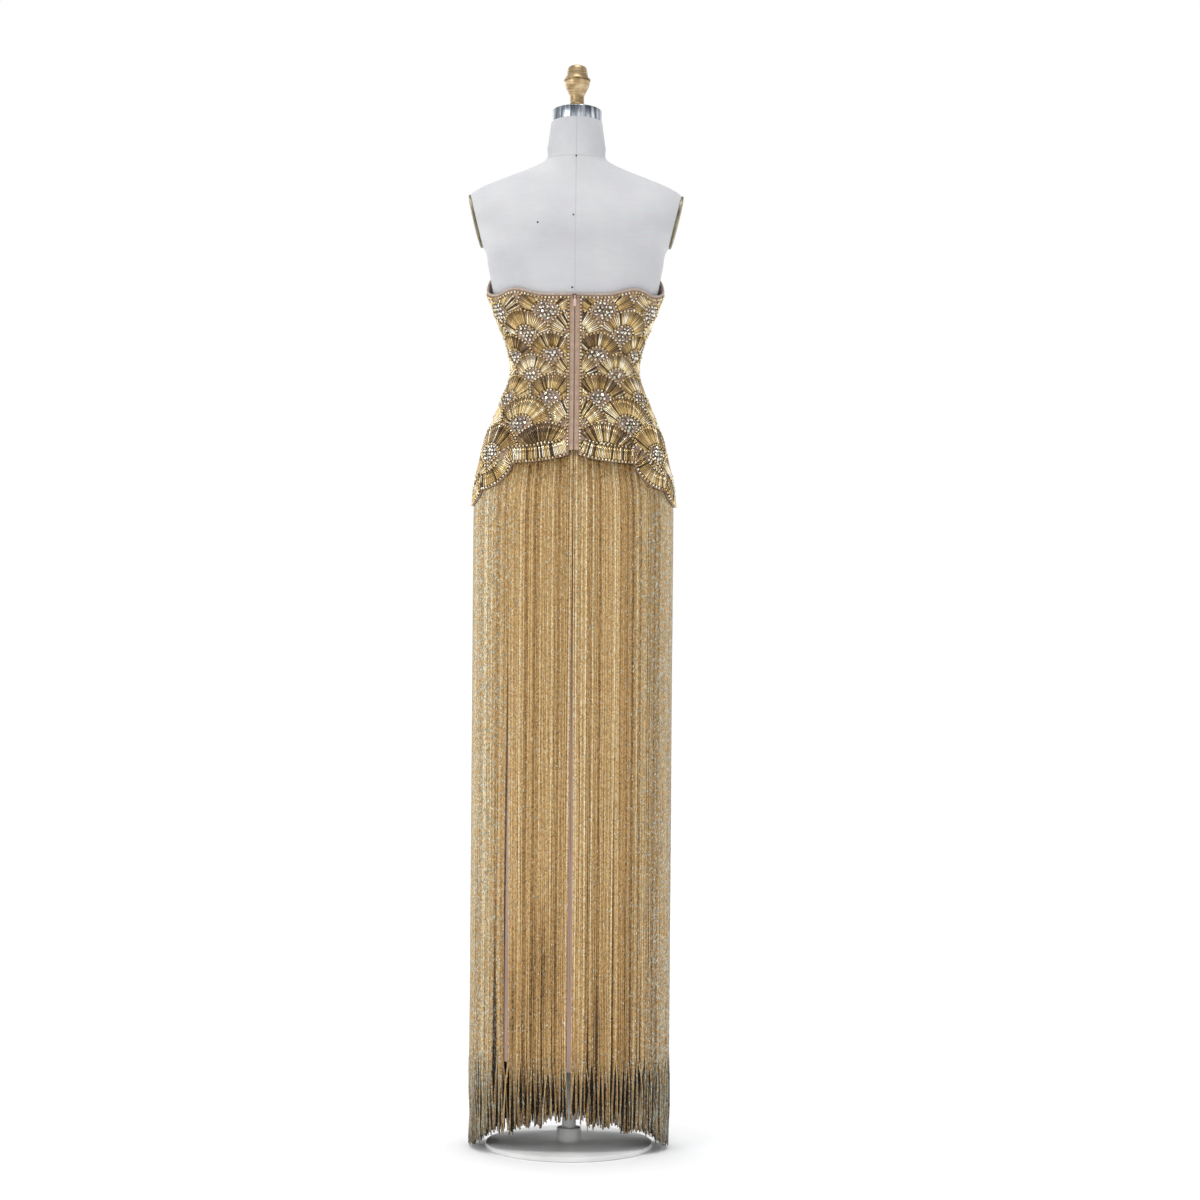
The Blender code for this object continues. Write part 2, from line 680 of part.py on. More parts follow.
def turned(name, profile, sides, material_name):
    """A turned piece: a profile of radius and height, spun round z, with flat ends."""
    bm = bmesh.new()
    line = [bm.verts.new((radius, 0, height)) for radius, height in profile]
    edges = [bm.edges.new(pair) for pair in zip(line, line[1:])]
    bmesh.ops.spin(
        bm,
        geom=line + edges,
        cent=(0, 0, 0),
        axis=(0, 0, 1),
        angle=2 * math.pi,
        steps=sides,
        use_merge=True,
    )
    bmesh.ops.remove_doubles(bm, verts=bm.verts, dist=1e-6)
    bmesh.ops.holes_fill(bm, edges=bm.edges)
    return finish_mesh(bm, name, material_name)


def neck_cap_and_finial():
    """The steel cap on the neck and the turned finial on it, both square to the neck."""
    neck_up = Vector((0, math.sin(NECK_TILT), math.cos(NECK_TILT)))
    cap = rod("form_neck_cap", CAP_RADIUS, CAP_HEIGHT, CAP_SIDES, Matrix(), "neck_steel")
    rounding = cap.modifiers.new("edge", "BEVEL")
    rounding.width = CAP_BEVEL
    rounding.segments = 1
    rounding.limit_method = "ANGLE"
    cap.location = NECK_TOP + neck_up * (SEAM_GAP + CAP_HEIGHT / 2)
    cap.rotation_euler = (-NECK_TILT, 0, 0)
    finial = turned("form_finial", FINIAL, FINIAL_SIDES, "finial_brass")
    finial.location = NECK_TOP + neck_up * (2 * SEAM_GAP + CAP_HEIGHT)
    finial.rotation_euler = (-NECK_TILT, 0, 0)


def stand():
    """A low round base with a boss, and the pole from it to the form."""
    turned("stand_base", BASE, BASE_SIDES, "stand_paint")
    bottom = BASE[-1][1] + SEAM_GAP
    top = FORM_BOTTOM - SEAM_GAP
    middle = Matrix.Translation((0, 0, (bottom + top) / 2))
    rod("stand_pole", POLE_RADIUS, top - bottom, POLE_SIDES, middle, "stand_paint")


def main():
    for old in list(bpy.data.objects):
        bpy.data.objects.remove(old)
    bodice()
    neckline_piping()
    zip_tape("zip_tape_left", -1)
    zip_tape("zip_tape_right", 1)
    zip_slider_and_pull()
    underskirt()
    skirt_fringe()
    dress_form()
    neck_cap_and_finial()
    stand()


main()
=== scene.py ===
import math

import bmesh
import bpy
import numpy as np
from mathutils import Matrix, Vector


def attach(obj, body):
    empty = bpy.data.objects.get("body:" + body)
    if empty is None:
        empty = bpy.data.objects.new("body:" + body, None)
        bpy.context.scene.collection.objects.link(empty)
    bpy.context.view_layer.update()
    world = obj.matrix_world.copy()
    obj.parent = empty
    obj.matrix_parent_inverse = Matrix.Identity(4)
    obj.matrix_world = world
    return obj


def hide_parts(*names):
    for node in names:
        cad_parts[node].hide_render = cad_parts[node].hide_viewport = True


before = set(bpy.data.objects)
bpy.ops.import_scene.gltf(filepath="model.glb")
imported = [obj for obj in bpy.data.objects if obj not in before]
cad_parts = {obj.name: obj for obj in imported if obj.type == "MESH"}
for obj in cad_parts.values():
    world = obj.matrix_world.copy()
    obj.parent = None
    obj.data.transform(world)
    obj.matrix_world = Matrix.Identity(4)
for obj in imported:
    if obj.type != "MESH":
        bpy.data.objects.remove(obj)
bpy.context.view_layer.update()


# Stand: a round base with a boss, turned from steel plate, and the steel tube that stands
# in it. Both are powder coated white, and show only below the skirt's hem.
BASE_PROFILE = (
    (0.1488, 0.0000),
    (0.1500, 0.0012),
    (0.1500, 0.0060),
    (0.1492, 0.0080),
    (0.1470, 0.0091),
    (0.0900, 0.0096),
    (0.0330, 0.0101),
    (0.0270, 0.0112),
    (0.0240, 0.0145),
    (0.0228, 0.0200),
    (0.0215, 0.0330),
    (0.0205, 0.0340),
)
BASE_STEPS = 120
POLE_PROFILE = ((0.0121, 0.0343), (0.0125, 0.0347), (0.0125, 1.0493), (0.0121, 1.0497))
POLE_STEPS = 40


def linear(code):
    """An sRGB hex colour as linear red, green and blue, with an alpha of 1."""
    parts = [int(code[start : start + 2], 16) / 255 for start in (1, 3, 5)]
    return [p / 12.92 if p <= 0.04045 else ((p + 0.055) / 1.055) ** 2.4 for p in parts] + [1.0]


def set_inputs(tree, node, inputs):
    """Set a node's inputs, by name or number, to values or to what comes out of other nodes."""
    for name, value in inputs.items():
        if isinstance(name, int):
            socket = node.inputs[name]
        else:
            socket = next(s for s in node.inputs if s.enabled and s.name == name)
        if isinstance(value, bpy.types.Node):
            value = next(s for s in value.outputs if s.enabled)
        if isinstance(value, bpy.types.NodeSocket):
            tree.links.new(value, socket)
        else:
            socket.default_value = value


def add_node(tree, kind, settings, inputs):
    """One shader node with its settings and its inputs; stops are a colour ramp's colours."""
    node = tree.nodes.new("ShaderNode" + kind)
    for name, value in settings.items():
        if name != "stops":
            setattr(node, name, value)
            continue
        ramp = node.color_ramp.elements
        ramp.remove(ramp[1])
        ramp[0].position = value[0][0]
        ramp[0].color = linear(value[0][1])
        for place, code in value[1:]:
            ramp.new(place).color = linear(code)
    set_inputs(tree, node, inputs)
    return node


def new_material(name, finish):
    """A new material, its tree and its shader; finish holds the shader's constant values."""
    made = bpy.data.materials.new(name)
    made.use_nodes = True
    shader = made.node_tree.nodes["Principled BSDF"]
    for socket, value in finish.items():
        shader.inputs[socket].default_value = value
    return made, made.node_tree, shader


def finish_piece(bm, name, material, nodes, body="gown_on_form", sharp=38):
    """Make a closed bmesh a piece that rides on a body and stands for its CAD nodes."""
    bmesh.ops.recalc_face_normals(bm, faces=bm.faces)
    mesh = bpy.data.meshes.new(name)
    bm.to_mesh(mesh)
    bm.free()
    mesh.shade_smooth()
    mesh.set_sharp_from_angle(angle=math.radians(sharp))
    return place_piece(mesh, name, material, nodes, body)


def place_piece(mesh, name, material, nodes, body="gown_on_form"):
    """Link a finished mesh as a piece, with its finish and what it stands for."""
    mesh.materials.append(material)
    piece = bpy.data.objects.new(name, mesh)
    bpy.context.scene.collection.objects.link(piece)
    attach(piece, body)
    if nodes:
        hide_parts(*nodes)
    return piece


def turned(profile, steps, placing=Matrix()):
    """A turned solid: radius and height spun round z, with flat ends, then put in place."""
    bm = bmesh.new()
    line = [bm.verts.new((radius, 0, height)) for radius, height in profile]
    edges = [bm.edges.new(pair) for pair in zip(line, line[1:])]
    bmesh.ops.spin(
        bm,
        geom=line + edges,
        cent=(0, 0, 0),
        axis=(0, 0, 1),
        angle=2 * math.pi,
        steps=steps,
        use_merge=True,
    )
    bmesh.ops.remove_doubles(bm, verts=bm.verts, dist=1e-6)
    bmesh.ops.holes_fill(bm, edges=bm.edges)
    bmesh.ops.transform(bm, matrix=placing, verts=bm.verts)
    return bm


def powder_coat():
    """White powder coat: sprayed and baked polyester, which shows a fine orange peel and
    fingerprints of duller gloss."""
    made, tree, shader = new_material("white_powder_coat", {"Specular IOR Level": 0.45})
    place = add_node(tree, "TexCoord", {}, {}).outputs["Object"]
    peel = add_node(tree, "TexNoise", {}, {"Vector": place, "Scale": 650.0, "Detail": 2.0})
    smear = add_node(tree, "TexNoise", {}, {"Vector": place, "Scale": 14.0, "Detail": 5.0})
    tint = add_node(tree, "ValToRGB", {"stops": ((0.3, "#DEDEDC"), (0.7, "#F0F0EE"))}, {"Fac": smear})
    gloss = add_node(tree, "MapRange", {}, {"Value": smear, "To Min": 0.34, "To Max": 0.55})
    relief = add_node(
        tree, "Bump", {}, {"Strength": 0.25, "Distance": 0.0002, "Height": peel}
    )
    set_inputs(tree, shader, {"Base Color": tint, "Roughness": gloss, "Normal": relief})
    return made


stand_finish = powder_coat()
finish_piece(
    turned(BASE_PROFILE, BASE_STEPS), "turned_base", stand_finish, ["stand_base"]
)
finish_piece(
    turned(POLE_PROFILE, POLE_STEPS), "steel_pole", stand_finish, ["stand_pole"]
)


# Dress form: a papier-mache body padded and covered in white linen canvas, sewn in panels
# with flat felled seams. It is cut flat at the arms and the neck, and has no limbs.
FIGURE = (
    (1.050, 0.1690, 0.000, 0.1040, 0.0930, 2.20),
    (1.140, 0.1730, 0.000, 0.1065, 0.0950, 2.20),
    (1.177, 0.1700, 0.000, 0.1055, 0.0960, 2.20),
    (1.209, 0.1645, 0.000, 0.1020, 0.0960, 2.20),
    (1.241, 0.1560, 0.000, 0.0965, 0.0945, 2.20),
    (1.273, 0.1480, 0.000, 0.0900, 0.0920, 2.20),
    (1.306, 0.1362, 0.000, 0.0845, 0.0885, 2.18),
    (1.338, 0.1270, 0.000, 0.0805, 0.0850, 2.15),
    (1.370, 0.1147, 0.000, 0.0780, 0.0820, 2.12),
    (1.390, 0.1108, 0.000, 0.0775, 0.0812, 2.10),
    (1.410, 0.1123, 0.000, 0.0780, 0.0825, 2.10),
    (1.434, 0.1168, 0.000, 0.0790, 0.0860, 2.12),
    (1.466, 0.1282, 0.000, 0.0815, 0.0920, 2.15),
    (1.498, 0.1395, 0.000, 0.0845, 0.0965, 2.20),
    (1.540, 0.1490, 0.000, 0.0880, 0.0975, 2.20),
    (1.580, 0.1570, 0.000, 0.0910, 0.0930, 2.20),
    (1.613, 0.1645, 0.000, 0.0920, 0.0865, 2.20),
    (1.645, 0.1960, 0.000, 0.0900, 0.0780, 2.20),
    (1.680, 0.2110, 0.000, 0.0800, 0.0660, 2.20),
    (1.703, 0.1980, 0.000, 0.0700, 0.0580, 2.20),
    (1.723, 0.1720, 0.001, 0.0610, 0.0530, 2.15),
    (1.742, 0.1265, 0.002, 0.0560, 0.0520, 2.10),
    (1.757, 0.0880, 0.004, 0.0540, 0.0520, 2.05),
    (1.772, 0.0580, 0.006, 0.0530, 0.0515, 2.00),
    (1.798, 0.0525, 0.009, 0.0505, 0.0500, 2.00),
    (1.840, 0.0465, 0.013, 0.0465, 0.0465, 2.00),
    (1.880, 0.0420, 0.016, 0.0430, 0.0430, 2.00),
)
TORSO_SIDES = 144
TORSO_BOTTOM = 1.050
TORSO_TOP = 1.880
TORSO_LEVELS = 120
CUP_ANGLE = 143.0
CUP_ANGLE_SPREAD = 20.0
CUP_HEIGHT = 1.507
CUP_HEIGHT_SPREAD = 0.044
FORM_CUP_SWELL = 0.022
ARM_TOP = Vector((0.189, 0.0, 1.708))
ARM_LEAN = math.radians(13.6)
ARM_CUT_FLOOR = 1.600
NECK_TOP = Vector((0.0, 0.0135, 1.8425))
NECK_TILT = math.radians(8.0)
NECK_UP = Vector((0, math.sin(NECK_TILT), math.cos(NECK_TILT)))
SEAM_GAP = 0.0003
LINEN_GIRTH = 0.90
THREAD_PITCH = 0.0016
NECK_SEAM_HEIGHT = 1.777
TACK_RADIUS = 0.0017
TACK_FLATNESS = 0.55
TACKS = ((0.0, 1.7755), (-0.0025, 1.6650), (-0.0600, 1.6510), (-0.0035, 1.5360))


def read_table(rows, place):
    """The columns of a table at heights or angles, on a smooth curve through its rows."""
    table = np.array(rows)
    places = table[:, 0]
    values = table[:, 1:]
    slopes = np.gradient(values, places, axis=0)
    place = np.clip(np.asarray(place, float), places[0], places[-1])
    i = np.clip(np.searchsorted(places, place, side="right") - 1, 0, len(places) - 2)
    step = (places[i + 1] - places[i])[..., None]
    t = (place - places[i])[..., None] / step
    start = (1 + 2 * t) * (1 - t) ** 2 * values[i] + t * (1 - t) ** 2 * step * slopes[i]
    end = t * t * (3 - 2 * t) * values[i + 1] - t * t * (1 - t) * step * slopes[i + 1]
    return np.moveaxis(start + end, -1, 0)


def section_point(half_width, back, front, roundness, angle):
    """Points x, y of a rounded section, at angles from the centre back."""
    across = np.sin(np.radians(angle))
    along = np.cos(np.radians(angle))
    x = half_width * np.sign(across) * np.abs(across) ** (2 / roundness)
    depth = np.where(along > 0, back, front)
    return x, -depth * np.sign(along) * np.abs(along) ** (2 / roundness)


def swelled(x, y, height, angle, swell):
    """Points moved outward over the cups, with their heights."""
    sideways = (np.abs(angle) - CUP_ANGLE) / CUP_ANGLE_SPREAD
    upward = (height - CUP_HEIGHT) / CUP_HEIGHT_SPREAD
    longer = 1 + swell * np.exp(-sideways * sideways - upward * upward) / np.hypot(x, y)
    return np.stack(np.broadcast_arrays(x * longer, y * longer, height), axis=-1)


def figure_point(angle, height):
    """Points of the dress form's surface."""
    half_width, middle, back, front, roundness = read_table(FIGURE, height)
    x, y = section_point(half_width, back, front, roundness, angle)
    return swelled(x, y, height, angle, FORM_CUP_SWELL) + np.stack(
        (0 * middle, middle, 0 * middle), axis=-1
    )


def cut_flat(bm, point, normal):
    """Cut away what lies beyond a plane above the armholes, close the cut with a face,
    and return its corners in order."""
    corners = [v for v in bm.verts if v.co.z > ARM_CUT_FLOOR]
    edges = {e for v in corners for e in v.link_edges if e.other_vert(v).co.z > ARM_CUT_FLOOR}
    faces = {f for e in edges for f in e.link_faces if min(v.co.z for v in f.verts) > ARM_CUT_FLOOR}
    geometry = corners + list(edges) + list(faces)
    cut = bmesh.ops.bisect_plane(
        bm, geom=geometry, dist=1e-7, plane_co=point, plane_no=normal, clear_outer=True
    )["geom_cut"]
    edges = [part for part in cut if isinstance(part, bmesh.types.BMEdge)]
    face = bmesh.ops.contextual_create(bm, geom=edges)["faces"][0]
    return [corner.co.copy() for corner in face.verts]


def wrap_cloth(bm, girth):
    """A UV map in metres, round the figure and up it, for a weave that follows the cloth."""
    layer = bm.loops.layers.uv.new("cloth")
    for face in bm.faces:
        middle = face.calc_center_median()
        facing = math.atan2(middle.x, -middle.y)
        for loop in face.loops:
            turn = math.atan2(loop.vert.co.x, -loop.vert.co.y)
            turn += 2 * math.pi * round((facing - turn) / (2 * math.pi))
            loop[layer].uv = (turn / (2 * math.pi) * girth, loop.vert.co.z)


def torso():
    """The padded body on fine rings, and the outlines of its two arm cuts."""
    bm = bmesh.new()
    station = bm.verts.layers.int.new("station")
    levels = np.linspace(TORSO_BOTTOM, TORSO_TOP, TORSO_LEVELS)
    angles = 360 * np.arange(TORSO_SIDES) / TORSO_SIDES - 180
    rings = [figure_point(angles, level) for level in levels]
    first = bmesh.ops.create_circle(bm, segments=TORSO_SIDES, radius=1, cap_ends=True)["verts"]
    for i, corner in enumerate(first):
        corner[station] = i
        corner.co = rings[0][i]
    edges = list(bm.edges)
    for ring in rings[1:]:
        grown = bmesh.ops.extrude_edge_only(bm, edges=edges)["geom"]
        edges = [part for part in grown if isinstance(part, bmesh.types.BMEdge)]
        for corner in grown:
            if isinstance(corner, bmesh.types.BMVert):
                corner.co = ring[corner[station]]
    bmesh.ops.contextual_create(bm, geom=edges)
    cut_flat(bm, NECK_TOP, NECK_UP)
    arms = []
    for side in (-1, 1):
        outward = Vector((side * math.cos(ARM_LEAN), 0, -math.sin(ARM_LEAN)))
        top = Vector((side * ARM_TOP.x, ARM_TOP.y, ARM_TOP.z))
        arms.append((cut_flat(bm, top, outward), outward))
    return bm, arms


def linen_canvas():
    """White linen canvas: plain woven, stretched and sized. It gives a matt off-white face
    with slubs, a fine square weave (drawn at 1.6 mm, so that it shows) and pressed seams."""
    made, tree, shader = new_material(
        "linen_canvas", {"Sheen Weight": 0.2, "Sheen Roughness": 0.6, "Specular IOR Level": 0.25}
    )
    place = add_node(tree, "TexCoord", {}, {}).outputs["Object"]
    cloth = add_node(tree, "UVMap", {"uv_map": "cloth"}, {})
    across = add_node(tree, "SeparateXYZ", {}, {"Vector": cloth})
    turns = 2 * math.pi / THREAD_PITCH
    warp = add_node(tree, "Math", {"operation": "MULTIPLY"}, {0: across.outputs["X"], 1: turns})
    weft = add_node(tree, "Math", {"operation": "MULTIPLY"}, {0: across.outputs["Y"], 1: turns})
    warp = add_node(tree, "Math", {"operation": "SINE"}, {0: warp})
    weft = add_node(tree, "Math", {"operation": "SINE"}, {0: weft})
    weave = add_node(tree, "Math", {"operation": "MULTIPLY_ADD"}, {0: warp, 1: weft, 2: 0.5})
    stretched = add_node(tree, "Mapping", {}, {"Vector": cloth, "Scale": (35.0, 420.0, 1.0)})
    slub = add_node(tree, "TexNoise", {}, {"Vector": stretched, "Scale": 1.0, "Detail": 3.0})
    mottle = add_node(tree, "TexNoise", {}, {"Vector": place, "Scale": 9.0, "Detail": 4.0})
    tint = add_node(
        tree,
        "ValToRGB",
        {"stops": ((0.25, "#C6C6C9"), (0.5, "#D0D0D2"), (0.75, "#DADADA"))},
        {"Fac": mottle},
    )
    slubbed = add_node(
        tree,
        "Mix",
        {"data_type": "RGBA", "blend_type": "MULTIPLY"},
        {"Factor": 0.12, "A": tint, "B": slub.outputs["Color"]},
    )
    where = add_node(tree, "SeparateXYZ", {}, {"Vector": place})
    off_centre = add_node(tree, "Math", {"operation": "ABSOLUTE"}, {0: where.outputs["X"]})
    off_neck = add_node(
        tree, "Math", {"operation": "SUBTRACT"}, {0: where.outputs["Z"], 1: NECK_SEAM_HEIGHT}
    )
    off_neck = add_node(tree, "Math", {"operation": "ABSOLUTE"}, {0: off_neck})
    off_seam = add_node(tree, "Math", {"operation": "MINIMUM"}, {0: off_centre, 1: off_neck})
    seam = add_node(
        tree,
        "MapRange",
        {"interpolation_type": "SMOOTHSTEP"},
        {"Value": off_seam, "From Min": 0.0002, "From Max": 0.0013, "To Min": 1.0, "To Max": 0.0},
    )
    sewn = add_node(
        tree,
        "Mix",
        {"data_type": "RGBA"},
        {"Factor": seam, "A": slubbed, "B": linear("#BEBFC1")},
    )
    height = add_node(tree, "Math", {"operation": "MULTIPLY_ADD"}, {0: slub, 1: 1.5, 2: weave})
    height = add_node(tree, "Math", {"operation": "MULTIPLY_ADD"}, {0: seam, 1: -2.0, 2: height})
    relief = add_node(
        tree, "Bump", {}, {"Strength": 0.5, "Distance": 0.00015, "Height": height}
    )
    rough = add_node(tree, "MapRange", {}, {"Value": slub, "To Min": 0.78, "To Max": 0.95})
    set_inputs(tree, shader, {"Base Color": sewn, "Roughness": rough, "Normal": relief})
    return made


torso_shape, arm_cuts = torso()
wrap_cloth(torso_shape, LINEN_GIRTH)
finish_piece(torso_shape, "linen_torso", linen_canvas(), ["form_torso"])


# Tacks: four round-headed steel upholstery tacks that pin the cover down the back. Their
# blackened heads lie on the canvas.
def blackened_steel():
    """Blackened steel: oiled and heat blued, dark with a soft gloss and worn lighter spots."""
    made, tree, shader = new_material("blackened_steel", {"Metallic": 1.0})
    place = add_node(tree, "TexCoord", {}, {}).outputs["Object"]
    wear = add_node(tree, "TexNoise", {}, {"Vector": place, "Scale": 900.0, "Detail": 3.0})
    tint = add_node(tree, "ValToRGB", {"stops": ((0.35, "#1F1D1B"), (0.7, "#4B4843"))}, {"Fac": wear})
    rough = add_node(tree, "MapRange", {}, {"Value": wear, "To Min": 0.35, "To Max": 0.6})
    set_inputs(tree, shader, {"Base Color": tint, "Roughness": rough})
    return made


def face_out(point, outward):
    """A matrix that puts a shape on a point, with its z along an outward direction."""
    return Matrix.Translation(point) @ outward.to_track_quat("Z", "Y").to_matrix().to_4x4()


def tack_heads():
    """Four flattened domes on the back of the torso."""
    bm = bmesh.new()
    for x, height in TACKS:
        angle = math.degrees(math.asin(x / float(read_table(FIGURE, height)[0])))
        point = Vector(figure_point(angle, height))
        beside = Vector(figure_point(angle + 1, height)) - point
        above = Vector(figure_point(angle, height + 0.002)) - point
        outward = beside.cross(above).normalized()
        if outward.y > 0:
            outward.negate()
        shape = face_out(point, outward) @ Matrix.Diagonal((1, 1, TACK_FLATNESS, 1))
        bmesh.ops.create_icosphere(bm, subdivisions=2, radius=TACK_RADIUS, matrix=shape)
    return bm


finish_piece(tack_heads(), "tack_heads", blackened_steel(), [])


# Arm plates: two oval plates stamped from sheet metal with a low dome, lacquered in a
# greyish bronze, and screwed over the flat cuts where the arms would be.
PLATE_RINGS = (
    (0.985, 0.0003),
    (1.000, 0.0010),
    (1.000, 0.0034),
    (0.985, 0.0042),
    (0.900, 0.0051),
    (0.720, 0.0060),
    (0.450, 0.0066),
    (0.200, 0.0068),
)


def bronze_lacquer():
    """Bronze-tinted lacquer on stamped steel: an even olive-brown with cloudy patches and
    the fine scratches that handling leaves."""
    made, tree, shader = new_material("bronze_lacquer", {"Metallic": 0.65, "Coat Weight": 0.25})
    place = add_node(tree, "TexCoord", {}, {}).outputs["Object"]
    cloud = add_node(tree, "TexNoise", {}, {"Vector": place, "Scale": 45.0, "Detail": 5.0})
    turned_place = add_node(
        tree,
        "Mapping",
        {},
        {"Vector": place, "Rotation": (0.6, 0.0, 0.0), "Scale": (1, 30.0, 900.0)},
    )
    scratch = add_node(tree, "TexNoise", {}, {"Vector": turned_place, "Scale": 1.0, "Detail": 2.0})
    tint = add_node(
        tree,
        "ValToRGB",
        {"stops": ((0.3, "#57513C"), (0.55, "#7D7554"), (0.8, "#9A9070"))},
        {"Fac": cloud},
    )
    rough = add_node(tree, "MapRange", {}, {"Value": scratch, "To Min": 0.3, "To Max": 0.6})
    relief = add_node(
        tree, "Bump", {}, {"Strength": 0.2, "Distance": 0.0001, "Height": scratch}
    )
    set_inputs(tree, shader, {"Base Color": tint, "Roughness": rough, "Normal": relief})
    return made


def arm_plate(outline, outward):
    """A domed plate on rings that follow the outline of the cut."""
    middle = sum(outline, Vector()) / len(outline)
    bm = bmesh.new()
    station = bm.verts.layers.int.new("station")
    share, lift = PLATE_RINGS[0]
    first = [bm.verts.new(middle + (p - middle) * share + outward * lift) for p in outline]
    back = bm.faces.new(first)
    for i, corner in enumerate(back.verts):
        corner[station] = i
    edges = list(bm.edges)
    for share, lift in PLATE_RINGS[1:]:
        grown = bmesh.ops.extrude_edge_only(bm, edges=edges)["geom"]
        edges = [part for part in grown if isinstance(part, bmesh.types.BMEdge)]
        for corner in grown:
            if isinstance(corner, bmesh.types.BMVert):
                p = outline[corner[station]]
                corner.co = middle + (p - middle) * share + outward * lift
    bmesh.ops.contextual_create(bm, geom=edges)
    return bm


plate_finish = bronze_lacquer()
for word, (outline, outward) in zip(("left", "right"), arm_cuts):
    finish_piece(
        arm_plate(outline, outward),
        f"stamped_arm_plate_{word}",
        plate_finish,
        [f"form_arm_plate_{word}"],
    )


# Neck cap: a disc with a rolled rim, spun from stainless steel and brushed round on a
# lathe. It closes the neck and carries the finial.
CAP_PROFILE = (
    (0.0435, 0.0000),
    (0.0444, 0.0004),
    (0.0447, 0.0013),
    (0.0447, 0.0210),
    (0.0444, 0.0219),
    (0.0435, 0.0225),
    (0.0409, 0.0225),
    (0.0401, 0.0218),
    (0.0180, 0.0216),
    (0.0172, 0.0225),
    (0.0155, 0.0225),
)
CAP_STEPS = 96
on_neck = Matrix.Translation(NECK_TOP + NECK_UP * SEAM_GAP) @ Matrix.Rotation(-NECK_TILT, 4, "X")


def brushed_steel():
    """Brushed stainless steel: turned against an abrasive pad, so fine rings run round it
    and stretch the reflections upwards. Its colour runs in upright bands from dark to pale,
    which are painted reflections."""
    made, tree, shader = new_material("brushed_steel", {"Metallic": 1.0, "Anisotropic": 0.5})
    place = add_node(tree, "TexCoord", {}, {}).outputs["Object"]
    ringed = add_node(tree, "Mapping", {}, {"Vector": place, "Scale": (12.0, 12.0, 1500.0)})
    brush = add_node(tree, "TexNoise", {}, {"Vector": ringed, "Scale": 1.0, "Detail": 3.0})
    # Painted reflections: upright bands, dark to pale, in the steel's colour.
    banded_place = add_node(tree, "Mapping", {}, {"Vector": place, "Scale": (130.0, 130.0, 6.0)})
    reflection_bands = add_node(tree, "TexNoise", {}, {"Vector": banded_place, "Scale": 1.0, "Detail": 3.0})
    tint = add_node(
        tree,
        "ValToRGB",
        {"stops": ((0.36, "#5F666F"), (0.5, "#9BA1A9"), (0.64, "#E2E6EB"))},
        {"Fac": reflection_bands},
    )
    rough = add_node(tree, "MapRange", {}, {"Value": brush, "To Min": 0.2, "To Max": 0.42})
    relief = add_node(
        tree, "Bump", {}, {"Strength": 0.25, "Distance": 0.0001, "Height": brush}
    )
    set_inputs(tree, shader, {"Base Color": tint, "Roughness": rough, "Normal": relief})
    return made


finish_piece(
    turned(CAP_PROFILE, CAP_STEPS, on_neck),
    "brushed_neck_cap",
    brushed_steel(),
    ["form_neck_cap"],
)


# Finial: a knob with a waist and two collars, turned in brass and lacquered gold. A set
# screw in its stem holds it on the pole's end.
FINIAL_PROFILE = (
    (0.0144, 0.0000),
    (0.0152, 0.0008),
    (0.0152, 0.0102),
    (0.0148, 0.0112),
    (0.0134, 0.0126),
    (0.0130, 0.0140),
    (0.0128, 0.0200),
    (0.0128, 0.0275),
    (0.0137, 0.0300),
    (0.0158, 0.0345),
    (0.0180, 0.0393),
    (0.0204, 0.0445),
    (0.0220, 0.0490),
    (0.0228, 0.0530),
    (0.0229, 0.0546),
    (0.0222, 0.0552),
    (0.0211, 0.0554),
    (0.0211, 0.0560),
    (0.0236, 0.0563),
    (0.0241, 0.0569),
    (0.0241, 0.0584),
    (0.0236, 0.0592),
    (0.0212, 0.0601),
    (0.0204, 0.0612),
    (0.0194, 0.0655),
    (0.0186, 0.0700),
    (0.0181, 0.0745),
    (0.0176, 0.0777),
    (0.0163, 0.0806),
    (0.0138, 0.0828),
    (0.0105, 0.0841),
    (0.0070, 0.0846),
    (0.0030, 0.0847),
)
FINIAL_STEPS = 80
SCREW_RADIUS = 0.0025
SCREW_TAPER = 0.94
SCREW_LENGTH = 0.0014
SCREW_OUT = 0.0126
SOCKET_INSET = 0.25
SOCKET_DEPTH = 0.0009
SCREW_HEIGHT = 0.0219
SCREW_TURN = math.radians(41)


def gold_lacquered_brass():
    """Gold lacquer on turned brass: the tool leaves fine rings round it, and handling dulls
    and browns the lacquer in patches."""
    made, tree, shader = new_material(
        "gold_lacquered_brass", {"Metallic": 0.8, "Coat Weight": 0.15}
    )
    place = add_node(tree, "TexCoord", {}, {}).outputs["Object"]
    ringed = add_node(tree, "Mapping", {}, {"Vector": place, "Scale": (20.0, 20.0, 700.0)})
    brush = add_node(tree, "TexNoise", {}, {"Vector": ringed, "Scale": 1.0, "Detail": 4.0})
    patch = add_node(tree, "TexNoise", {}, {"Vector": place, "Scale": 80.0, "Detail": 4.0})
    worn = add_node(tree, "Math", {"operation": "MULTIPLY"}, {0: brush, 1: 0.5})
    worn = add_node(tree, "Math", {"operation": "MULTIPLY_ADD"}, {0: patch, 1: 0.5, 2: worn})
    tint = add_node(
        tree,
        "ValToRGB",
        {"stops": ((0.34, "#73593A"), (0.5, "#B49A70"), (0.66, "#E0C9A2"))},
        {"Fac": worn},
    )
    rough = add_node(tree, "MapRange", {}, {"Value": patch, "To Min": 0.3, "To Max": 0.55})
    relief = add_node(
        tree, "Bump", {}, {"Strength": 0.3, "Distance": 0.0002, "Height": worn}
    )
    set_inputs(tree, shader, {"Base Color": tint, "Roughness": rough, "Normal": relief})
    return made


on_cap = Matrix.Translation(NECK_UP * (CAP_PROFILE[-1][1] + SEAM_GAP)) @ on_neck
finish_piece(
    turned(FINIAL_PROFILE, FINIAL_STEPS, on_cap),
    "turned_finial",
    gold_lacquered_brass(),
    ["form_finial"],
)


